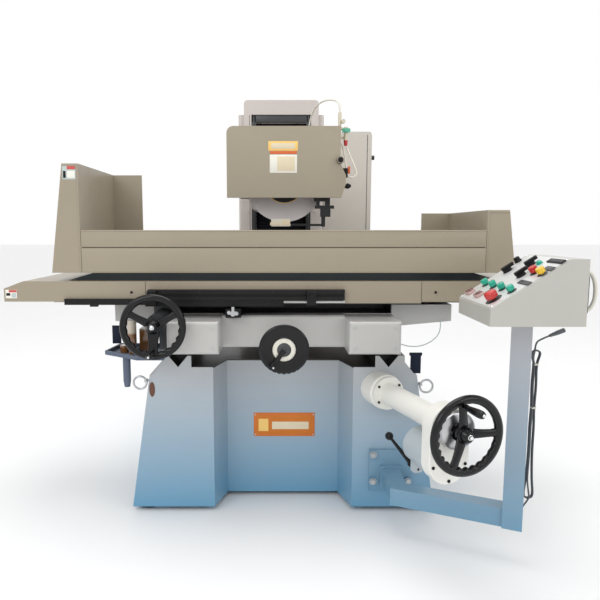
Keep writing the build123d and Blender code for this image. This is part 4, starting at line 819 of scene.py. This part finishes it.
def panel_trim():
    """The display strip, digit switches, lamp, knob and fixing screws of the panel."""
    def on_panel(name, s0, s1, y0, y1, high, rounding, material):
        low_corner, high_corner = (s0, y0, PLATE - 0.0004), (s1, y1, PLATE + high)
        return block_piece(name, low_corner, high_corner, rounding, material, "machine", PANEL)

    on_panel("display_strip", 0.246, 0.2655, -0.149, -0.054, 0.004, 0.0015, black)
    on_panel("meter_strip", 0.208, 0.228, -0.150, -0.100, 0.0030, 0.0012, dark_paint)
    on_panel("lower_strip", 0.128, 0.146, -0.150, -0.078, 0.0030, 0.0012, dark_paint)
    blocks = []
    for index in range(5):
        y = -0.143 + index * 0.018
        blocks.append(((0.2495, y, PLATE + 0.0035), (0.2625, y + 0.012, PLATE + 0.0046), 0.0004, 1))
    blocks_piece("display_windows", blocks, gloss_black, "machine", PANEL)
    for index, y in enumerate((0.114, 0.030)):
        on_panel(f"digit_switch_{index + 1}", 0.022, 0.050, y - 0.020, y + 0.020, 0.009, 0.002, switch_rose)
        blocks = []
        for wheel in range(3):
            y0 = y - 0.0165 + wheel * 0.0115
            blocks.append(((0.030, y0, PLATE + 0.0085), (0.042, y0 + 0.0085, PLATE + 0.0104), 0.0008, 2))
            for s0, s1 in ((0.0245, 0.0280), (0.0440, 0.0475)):
                low, high = (s0, y0 + 0.002, PLATE + 0.0085), (s1, y0 + 0.0065, PLATE + 0.0112)
                blocks.append((low, high, 0.0007, 2))
        blocks_piece(f"digit_wheels_{index + 1}", blocks, dark_rose, "machine", PANEL)
    lens = [
        (0, 0.012), (0.004, 0.0115), (0.0075, 0.009), (0.0085, 0.005), (0.0085, 0.002), (0.011, 0.0015),
        (0.0115, 0),
    ]
    turned_piece("run_lamp", lens, green, "machine", PANEL @ Matrix.Translation((0.236, 0.018 - 0.045, PLATE)))
    knob = [
        (0, 0.017), (0.0085, 0.017), (0.0100, 0.0155), (0.0108, 0.006), (0.0125, 0.004), (0.0128, 0.001), (0.0128, 0),
    ]
    turned_piece("speed_knob", knob, black, "machine", PANEL @ Matrix.Translation((0.232, 0.128, PLATE)), 48,
                 lambda i, t, r: r - (0.0006 * max(0, cos(18 * t)) if 1 <= i <= 3 else 0))
    corners = [(s, y) for s in (0.010, 0.268) for y in (-0.140, 0.140)]
    bm = bmesh.new()
    for s, y in corners:
        dome = [(0, 0.0018), (0.0022, 0.0020), (0.0036, 0.0012), (0.0038, 0)]
        add_turned(bm, dome, Matrix.Translation((s, y, PLATE)), 24)
        add_block(bm, (s - 0.0028, y - 0.0003, PLATE + 0.0017), (s + 0.0028, y + 0.0003, PLATE + 0.0022), 0, 1)
    mesh_piece("panel_screws", bm, chrome, "machine", PANEL)


control_collars()
panel_trim()


def mushroom_head():
    """The wide red mushroom of the emergency stop with its ribbed edge."""
    s, y, _ = CONTROLS["emergency_stop"]
    profile = [
        (0.006, 0.0098), (0.0155, 0.0098), (0.0195, 0.0112), (0.0200, 0.0150), (0.0200, 0.0240), (0.0190, 0.0290),
        (0.0160, 0.0325), (0.0100, 0.0338), (0, 0.0340),
    ]
    stem = [(0.006, -0.013), (0.006, 0.010)]
    bm = bmesh.new()
    add_turned(bm, profile, None, 72, lambda i, t, a: a - (0.0005 * max(0, cos(24 * t)) if 2 <= i <= 4 else 0))
    add_turned(bm, stem, None, 32)
    piece = mesh_piece("stop_mushroom", bm, red, "emergency_stop", PANEL @ Matrix.Translation((s, y, 0)), angle=50)
    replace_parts(piece, "emergency_stop")


mushroom_head()


def console_grab_handle():
    """The pale bent grab handle on the console's right side, with its black grip inside."""
    low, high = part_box("console_box")
    y = (low.y + high.y) / 2 - 0.02
    x = high.x
    points = [
        (x - 0.004, y, low.z + 0.022), (x + 0.046, y, low.z + 0.022), (x + 0.076, y, low.z + 0.032),
        (x + 0.091, y, low.z + 0.062), (x + 0.093, y, low.z + 0.100), (x + 0.086, y, low.z + 0.135),
        (x + 0.070, y, low.z + 0.158), (x + 0.040, y, low.z + 0.168), (x - 0.004, y, low.z + 0.168),
    ]
    rod_piece("grab_handle", points, 0.0065, ivory, "machine")
    corner, other = (x + 0.0001, y - 0.030, low.z + 0.020), (x + 0.060, y + 0.030, low.z + 0.150)
    block_piece("side_connector_box", corner, other, 0.010, black, "machine")


console_grab_handle()


# ---- cable ------------------------------------------------------------------------
CABLE_RADIUS = 0.003
FOLD = 0.018
LAYER = 0.0068


def console_cable():
    """One continuous cable: out of the post, through the tied hank's five runs, and over to its plug."""
    low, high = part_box("cable_hank")
    x, y = (low.x + high.x) / 2, (low.y + high.y) / 2
    level = low.z - 0.048
    points = [
        (0.82945, -0.93159, level), (0.83622, -0.91661, level), (0.84080, -0.90646, level + 0.00643),
        (0.84345, -0.90060, level + 0.01757), (x, y, low.z - 0.003),
    ]
    top, bottom = high.z - FOLD - 0.0035, low.z + FOLD + 0.0035
    corner = FOLD * 0.4142
    waist = (
        (0.0100, 0.078), (0.0062, 0.178), (0.0078, 0.268), (0.0045, 0.336), (0.0082, 0.413), (0.0045, 0.490),
    )
    runs = ((-1, -LAYER), (1, 0.0), (-1, 0.0), (1, LAYER), (-1, LAYER))
    turns = [(0.0010, -LAYER * 0.9, low.z + 0.012), (-0.0050, -LAYER, bottom + 0.022)]
    for index, (side, depth) in enumerate(runs):
        upward = index % 2 == 0
        run = [(side * away, depth, low.z + height) for away, height in waist]
        turns += run if upward else list(reversed(run))
        if index == len(runs) - 1:
            break
        level, way = (top, 1) if upward else (bottom, -1)
        onward = runs[index + 1][1]
        step = (onward - depth) / 3
        turns += [
            (side * FOLD, depth, level + way * corner), (side * corner, depth + step, level + way * FOLD),
            (-side * corner, depth + 2 * step, level + way * FOLD), (-side * FOLD, onward, level + way * corner),
        ]
    turns += [
        (-0.0040, 0.0085, top - 0.004), (0.0, 0.0102, top + 0.014), (0.0, 0.0090, high.z + 0.002),
        (0.0, 0.0030, high.z + 0.0213), (0.0082, 0.0, high.z + 0.0335), (0.0428, 0.0, high.z + 0.0475),
    ]
    points += [(x + dx, y + dy, height) for dx, dy, height in turns]
    cord = rod_piece("console_cable", points, CABLE_RADIUS, cable_skin, "machine")
    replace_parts(cord, "cable_hank", "cable_leads")
    blocks = []
    for height in (low.z + 0.490, low.z + 0.336):
        blocks.append(((x - 0.0086, y - 0.0108, height - 0.003), (x + 0.0086, y + 0.0108, height + 0.003), 0.0028))
    ties = blocks_piece("cable_ties", blocks, ivory, "machine")


console_cable()


def coolant_loop():
    """The pale coolant hose that hangs in a long loop from the cock."""
    x, y, z = 0.277, -0.250, 1.576
    centre = (x + 0.028, z - 0.178)
    points = [(x, y, z - 0.041), (x + 0.001, y, z - 0.062), (x + 0.026, y - 0.002, z - 0.120)]
    for index, turn in enumerate((0.0, -36.0, -72.0, -108.0, -144.0, -180.0)):
        reach = 0.022 / cos(radians(18))
        around = radians(turn)
        points.append((centre[0] + reach * cos(around), y - 0.004 + 0.0012 * index, centre[1] + reach * sin(around)))
    points += [
        (x + 0.001, y + 0.004, z - 0.128), (x - 0.008, y + 0.008, z - 0.084), (x - 0.014, y + 0.012, z - 0.058),
        (x - 0.032, y + 0.016, z - 0.042), (0.2194, y + 0.017, z - 0.038),
    ]
    hose = rod_piece("coolant_loop", points, 0.0035, hose_skin, "head")
    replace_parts(hose, "coolant_hose")
    collar = [
        (0.0045, 0), (0.0075, 0.001), (0.0082, 0.004), (0.0082, 0.016), (0.0095, 0.018), (0.0095, 0.022),
        (0.004, 0.023),
    ]
    turned_piece("hose_union", collar, red, "head", Matrix.Translation((x, y, z - 0.0635)))


coolant_loop()


def head_details():
    """The door's printed plate, knobs, latch, coolant pipe and the guard's fasteners."""
    door_low, door_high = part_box("guard_door")
    front = door_low.y + 0.024
    bands = [
        (0.0, 0.58, 0.05, 0.97, label_white, 0.0), (0.60, 0.69, 0.06, 0.96, label_orange, 0.0),
        (0.70, 1.0, 0.0, 1.0, label_yellow, 0.0), (0.06, 0.52, 0.30, 0.90, label_cream, 0.0003),
        (0.76, 0.94, 0.10, 0.90, label_cream, 0.0003),
    ]
    panel_label("door_plate", (-0.062, 1.391), (0.066, 1.525), front, bands, "guard_door")
    knob = [
        (0, 0.0262), (0.006, 0.0260), (0.012, 0.0245), (0.0154, 0.0205), (0.0162, 0.016), (0.0162, 0.0085),
        (0.0135, 0.0075), (0.0075, 0.006), (0.0075, 0.0002),
    ]
    matrix = facing((door_high.x - 0.027, front, door_low.z + 0.158), FRONT)
    turned_piece("door_knob", knob, black, "guard_door", matrix, 60,
                 lambda i, t, r: r - (0.0012 * max(0, cos(12 * t)) if 2 <= i <= 5 else 0))
    blocks = [
        ((0.2655, -0.2595, 1.375), (0.2870, -0.2450, 1.416), 0.003),
        ((0.2145, -0.2560, 1.385), (0.2700, -0.2480, 1.405), 0.002),
    ]
    blocks_piece("latch_block", blocks, black, "head")
    block_piece("latch_spring", (0.288, -0.2565, 1.392), (0.2985, -0.2465, 1.424), 0.003, label_orange, "head")
    bm = bmesh.new()
    add_turned(bm, [(0, 0.020), (0.008, 0.0195), (0.0115, 0.016), (0.0118, 0.006), (0.006, 0.004), (0.006, -0.012)],
               facing((0.288, -0.262, 1.337), FRONT), 24,
               lambda i, t, r: r * (1 + 0.10 * cos(3 * t)) if i else r)
    add_block(bm, (0.2145, -0.2560, 1.329), (0.2960, -0.2500, 1.345), 0.002)
    mesh_piece("lower_latch_knob", bm, black, "head")
    points = [
        (0.250, -0.250, 1.650), (0.250, -0.248, 1.682), (0.243, -0.235, 1.704), (0.222, -0.190, 1.722),
        (0.188, -0.110, 1.734), (0.160, -0.020, 1.728), (0.140, 0.060, 1.690), (0.128, 0.090, 1.600),
        (0.126, 0.094, 1.520), (0.126, 0.094, 1.474),
    ]
    rod_piece("coolant_pipe", points, 0.0042, ivory, "head")
    spots = [(0.2145, y, z) for y in (-0.230, -0.130) for z in (1.32, 1.50)]
    screw_heads("guard_screws", spots, 0.006, 0.005, iron, "head", (1, 0, 0))
    matrix = Matrix.Translation((0.009, -0.210, 1.357)) @ Matrix.Rotation(pi / 2, 4, "X")
    ring = [(0.0825, 0.0003), (0.0825, 0.0014), (0.0912, 0.0014), (0.0918, 0.0008), (0.0918, 0.0003)]
    flange = [(0.040, -0.0080), (0.0700, -0.0078), (0.0815, -0.0050), (0.0828, -0.0020), (0.0828, 0.0004)]
    turned_piece("wheel_flange_front", [(r, -z - 0.0142) for r, z in flange], iron, "spindle", matrix, 96)
    turned_piece("wheel_blotter", [(r, z - 0.0142) for r, z in ring], label_yellow, "spindle", matrix, 96)
    spots = [(0.009 + 0.072 * cos(radians(a)), -0.210, 1.357 + 0.072 * sin(radians(a))) for a in range(30, 390, 60)]
    screw_heads("flange_screws", spots, 0.0062, 0.006, iron, "spindle")
    nut = [(0, 0.0002), (0.010, 0.012), (0.018, 0.011), (0.0265, 0.010), (0.0275, 0.008), (0.0275, 0.0002)]
    turned_piece("spindle_nut", nut, iron, "spindle", facing((0.009, -0.230, 1.357), FRONT), 6)
    blocks = [
        ((-0.003, -0.2500, 1.166), (0.034, -0.2482, 1.191), 0.0008, 2),
        ((-0.055, -0.2500, 1.166), (-0.012, -0.2482, 1.179), 0.0008, 2),
    ]
    blocks_piece("spray_plates", blocks, label_cream, "head")


head_details()


# ---- column and cabinet -------------------------------------------------------------
def column_details():
    """The dark guide strips beside the pleats, frame screws, joint lines and the cabinet's trim."""
    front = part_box("column_frame")[0].y
    for side, name in SIDES:
        x0, x1 = sorted((side * 0.1565, side * 0.132))
        blocks = [
            ((x0, front + 0.006, 0.801), (x1, front + 0.014, 1.7445), 0.0015, 2),
            ((x0 + 0.009, front + 0.0035, 0.801), (x0 + 0.0155, front + 0.0075, 1.7445), 0.0015, 2),
        ]
        blocks_piece(f"guide_strip_{name}", blocks, dark_paint, "machine")
    header = ((-0.1565, front + 0.006, 1.7065), (0.1565, front + 0.020, 1.7448), 0.001, 2)
    blocks_piece("opening_header", [header], dark_paint, "machine")
    spots = [(x, front, z) for x in (-0.178, 0.178) for z in (0.83, 1.03, 1.24, 1.45, 1.66)]
    screw_heads("frame_screws", spots, 0.0055, 0.0035, column_paint, "machine")
    line = ((-0.1677, front - 0.0009, 0.772), (-0.1653, front + 0.0003, 1.742), 0.0003, 1)
    blocks_piece("frame_joint_line", [line], dark_paint, "machine")
    cab_low, cab_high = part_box("electrical_cabinet")
    corner = (cab_high.x - 0.0235, cab_low.y - 0.0009, cab_low.z + 0.004)
    other = (cab_high.x - 0.0205, cab_low.y + 0.0004, cab_high.z - 0.016)
    blocks_piece("cabinet_fold_line", [(corner, other, 0.0003, 1)], dark_paint, "machine")
    x = cab_high.x + 0.0036
    y0, y1 = cab_low.y + 0.07, cab_low.y + 0.19
    blocks = []
    for index in range(8):
        z = 0.86 + index * 0.016
        blocks.append(((x - 0.0002, y0, z), (x + 0.0055, y1, z + 0.0085), 0.0025, 2))
    blocks_piece("cabinet_louvres", blocks, cabinet_paint, "cabinet_door")


column_details()


# ---- table ------------------------------------------------------------------------
def table_details():
    """Rail bolts, guard seams, hem, the chuck's end plates, cover screws and printed plates."""
    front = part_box("dog_rails")[0].y
    spots = [(x, front, 0.9125) for x in (-0.46, -0.32, -0.18, -0.04, 0.10, 0.21)]
    screw_heads("rail_screws", spots, 0.0036, 0.00018, iron, "table")
    spots = [(x, -0.6552, 0.8670) for x in (-0.48, -0.34, -0.20, -0.06)]
    spots += [(x, -0.6552, 0.8725) for x in (-0.80, -0.60)]
    screw_heads("rack_screws", spots, 0.0040, 0.002, iron, "table")
    block_piece("rack_stop", (-0.744, -0.6535, 0.8535), (-0.712, -0.6420, 0.8625), 0.002, iron, "table")
    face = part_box("splash_guard")[0].y
    seam = ((-0.764, face - 0.0008, 1.0785), (0.764, face + 0.0004, 1.0815), 0.0004, 1)
    blocks_piece("guard_seam", [seam], moulded("seam_shadow", (0.10, 0.075, 0.05), 0.7), "table")
    blocks = [
        ((-0.768, face - 0.0022, 1.0820), (0.768, face + 0.0005, 1.1455), 0.0018),
        ((-0.768, face - 0.0022, 0.9870), (0.768, face + 0.0005, 1.0780), 0.0018),
        ((-0.768, face - 0.0040, 1.1400), (0.768, face + 0.0010, 1.1458), 0.0022),
    ]
    blocks_piece("guard_front_skins", blocks, taupe, "table")
    for side, top, name in ((-1, 1.393, "left"), (1, 1.221, "right")):
        x0, x1 = sorted((side * 0.7690, side * 0.7745))
        blocks = [((x0, face - 0.0030, 0.986), (x1, face + 0.0015, top - 0.0002), 0.0018)]
        outer = 0.883 - 0.053 * (top - 0.984) / 0.409
        x0, x1 = sorted((side * 0.7700, side * (outer - 0.0010)))
        blocks.append(((x0, face - 0.0020, top - 0.0100), (x1, face + 0.0010, top - 0.0002), 0.0018))
        blocks_piece(f"wing_hem_{name}", blocks, taupe, "table")
    bands = [
        (0.0, 1.0, 0.0, 1.0, label_grey, 0.0), (0.66, 0.98, 0.36, 0.98, label_red, 0.0003),
        (0.10, 0.56, 0.36, 0.94, label_white, 0.0003), (0.10, 0.56, 0.06, 0.26, black, 0.0003),
    ]
    panel_label("wing_plate", (-0.828, 1.334), (-0.778, 1.390), face, bands, "table")
    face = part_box("table_covers")[0].y
    bands = [
        (0.0, 1.0, 0.0, 1.0, label_white, 0.0), (0.70, 0.98, 0.30, 0.98, label_red, 0.0003),
        (0.10, 0.62, 0.52, 0.94, label_grey, 0.0003), (0.30, 0.62, 0.06, 0.42, black, 0.0003),
    ]
    panel_label("cover_plate", (-1.070, 0.885), (-1.026, 0.918), face, bands, "table")
    spots = [(0.585, face, 0.908), (-0.585, face, 0.908), (0.99, face, 0.908)]
    screw_heads("cover_screws", spots, 0.0048, 0.003, black, "table")
    blocks = []
    for x in (-0.531, 0.531):
        blocks.append(((x - 0.0010, face - 0.0006, 0.874), (x + 0.0010, face + 0.0003, 0.9500), 0.0003, 1))
    blocks_piece("cover_joint_lines", blocks, dark_paint, "table")
    low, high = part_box("magnetic_chuck")
    for side, name in SIDES:
        x0, x1 = sorted((side * 0.4002, side * 0.4080))
        corner, other = (x0, low.y + 0.010, low.z + 0.0002), (x1, high.y - 0.010, high.z - 0.014)
        block_piece(f"chuck_stop_{name}", corner, other, 0.002, iron, "table")


table_details()


# ---- saddle -----------------------------------------------------------------------
def saddle_details():
    """Curtains beside the ways, wipers and block screws."""
    blocks = [
        ((0.506, -0.598, 0.578), (0.548, -0.5945, 0.655), 0.0012, 2),
        ((0.502, -0.5985, 0.650), (0.552, -0.5900, 0.662), 0.0015, 2),
    ]
    blocks_piece("way_curtain_right", blocks, navy, "saddle")
    curtain = ((-0.690, -0.552, 0.690), (-0.655, -0.546, 0.764), 0.0015, 2)
    blocks_piece("way_curtain_left", [curtain], navy, "saddle")
    blocks = [((x, -0.5235, 0.6525), (x + 0.088, -0.5195, 0.6885), 0.001, 2) for x in (-0.463, 0.375)]
    blocks_piece("way_wipers", blocks, rubber, "saddle")
    spots = [(x, -0.760, z) for x in (-0.410, -0.262, 0.262, 0.410) for z in (0.715, 0.790)]
    screw_heads("block_screws", spots, 0.0075, 0.0030, saddle_paint, "saddle")


saddle_details()


def oil_pipe():
    """The thin oil pipe that loops from under the right wing back to the saddle's block."""
    points = [
        (0.628, -0.566, 0.790), (0.633, -0.568, 0.748), (0.604, -0.570, 0.706), (0.548, -0.572, 0.681),
        (0.492, -0.574, 0.684), (0.450, -0.576, 0.702), (0.428, -0.578, 0.712),
    ]
    rod_piece("oil_pipe", points, 0.0019, motor_paint, "saddle")


oil_pipe()


# ---- base -------------------------------------------------------------------------
plug_brown = moulded("plug_brown", (0.12, 0.045, 0.022), 0.45, 500.0, 0.1)


def base_details():
    """Lifting rings, the nameplate, the sight plug, arm bolts and the feed unit's screws."""
    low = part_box("base_casting")[0]
    for side, name, z in ((-1, "left", 0.5435), (1, "right", 0.5295)):
        x, y = side * 0.569, low.y - 0.010
        bm = bmesh.new()
        ring = [(0.0255 + 0.0040 * cos(2 * pi * k / 16), 0.0040 * sin(2 * pi * k / 16)) for k in range(17)]
        add_turned(bm, ring, Matrix.Translation((x, y, z)) @ Matrix.Rotation(pi / 2, 4, "X"), 48)
        eye = facing((x - side * 0.0235, y + 0.011, z + 0.006), FRONT)
        add_turned(bm, [(0, 0.016), (0.005, 0.0155), (0.0075, 0.012), (0.0078, 0.006), (0.0078, -0.004)], eye, 32)
        mesh_piece(f"lifting_ring_{name}", bm, steel, "machine")
    bm = bmesh.new()
    oval = [(0, 0.0030), (0.0105, 0.0029), (0.0128, 0.0022), (0.0135, 0.0), (0.0135, -0.001)]
    add_turned(bm, oval, None, 48)
    stretch = facing((-0.5245, low.y, 0.513), FRONT) @ Matrix.Diagonal((0.85, 2.25, 1.0, 1.0))
    mesh_piece("sight_plug", bm, plug_brown, "machine", stretch)
    face = low.y + 0.140
    bands = [
        (0.0, 1.0, 0.0, 1.0, nameplate_orange, 0.0), (0.05, 0.95, 0.02, 0.98, label_orange, 0.0003),
        (0.08, 0.92, 0.03, 0.97, nameplate_orange, 0.0006), (0.30, 0.62, 0.30, 0.90, label_cream, 0.0009),
        (0.22, 0.74, 0.08, 0.24, label_yellow, 0.0009),
    ]
    panel_label("nameplate", (-0.124, 0.268), (0.137, 0.372), face, bands, "machine")
    spots = [(x, face - 0.0015, z) for x in (-0.117, 0.130) for z in (0.276, 0.364)]
    screw_heads("nameplate_rivets", spots, 0.003, 0.0015, steel, "machine")
    spots = [(0.4325 + dx, low.y - 0.024, 0.130 + dz) for dx in (-0.070, 0.070) for dz in (0.008, 0.120)]
    screw_heads("arm_bolts", spots, 0.0105, 0.0065, steel, "machine", FRONT, False)
    matrix = shaft_frame("vertical_feed")
    axis = (matrix @ Vector((0, 0, 1, 0))).to_3d()
    places = ((-0.060, 0.010), (0.060, 0.010), (-0.060, -0.130), (0.060, -0.130), (0.0, 0.062), (0.0, -0.182))
    spots = [matrix @ Vector((dx, dy, -0.085)) for dx, dy in places]
    screw_heads("case_screws", spots, 0.0056, 0.0030, black, "machine", axis)
    height = 0.080 - (low.y - JOINTS["vertical_feed"]["pos_m"][1]) / cos(radians(18))
    around = [radians(degrees) for degrees in (35, 145, 215, 325)]
    spots = [matrix @ Vector((0.053 * cos(a), 0.053 * sin(a), height)) for a in around]
    screw_heads("flange_bolts", spots, 0.0048, 0.0040, iron, "machine", axis)


base_details()


# ---- stage, light and camera ------------------------------------------------------
def floor():
    """A plain pale floor."""
    bm = bmesh.new()
    bmesh.ops.create_grid(bm, x_segments=1, y_segments=1, size=40.0)
    mesh = bpy.data.meshes.new("floor")
    bm.to_mesh(mesh)
    bm.free()
    obj = bpy.data.objects.new("floor", mesh)
    bpy.context.scene.collection.objects.link(obj)
    finish = Finish("pale_floor", specular=0.2)
    patches = finish.at.noise(1.2, 2.0)
    finish.set("Base Color", patches.choose((0.86, 0.86, 0.86), (0.90, 0.90, 0.90)))
    finish.set("Roughness", patches * 0.1 + 0.5)
    obj.data.materials.append(finish.material)


def lamp(name, location, target, size, power):
    light = bpy.data.lights.new(name, "AREA")
    light.shape = "RECTANGLE"
    light.size, light.size_y = size
    light.energy = power
    obj = bpy.data.objects.new(name, light)
    bpy.context.scene.collection.objects.link(obj)
    obj.location = location
    direction = Vector(target) - Vector(location)
    obj.rotation_euler = direction.to_track_quat("-Z", "Y").to_euler()


def studio():
    """White surroundings and three soft lamps."""
    world = bpy.data.worlds.new("studio")
    bpy.context.scene.world = world
    world.use_nodes = True
    background = world.node_tree.nodes["Background"].inputs
    background["Color"].default_value = (1.0, 1.0, 1.0, 1.0)
    background["Strength"].default_value = 1.0
    bpy.context.scene.view_settings.view_transform = "Standard"
    lamp("front_softbox", (-2.6, -4.2, 3.6), (0.0, -0.3, 0.8), (2.6, 2.2), 46.0)
    lamp("right_softbox", (3.6, -3.4, 2.6), (0.1, -0.3, 0.8), (1.8, 1.8), 18.0)
    lamp("top_softbox", (0.0, -0.4, 4.6), (0.0, -0.2, 0.0), (3.0, 2.4), 60.0)


def camera():
    """Chest height in front of the table, tilted down a little and shifted so the console fits."""
    data = bpy.data.cameras.new("camera")
    data.lens = 34.68
    data.sensor_width = 36.0
    data.shift_x = 0.041667
    data.clip_end = 100.0
    obj = bpy.data.objects.new("camera", data)
    obj.location = (-0.033, -2.851, 1.150)
    obj.rotation_euler = (radians(90.0 - 7.003), 0.0, 0.0)
    bpy.context.scene.collection.objects.link(obj)
    bpy.context.scene.camera = obj


floor()
studio()
camera()
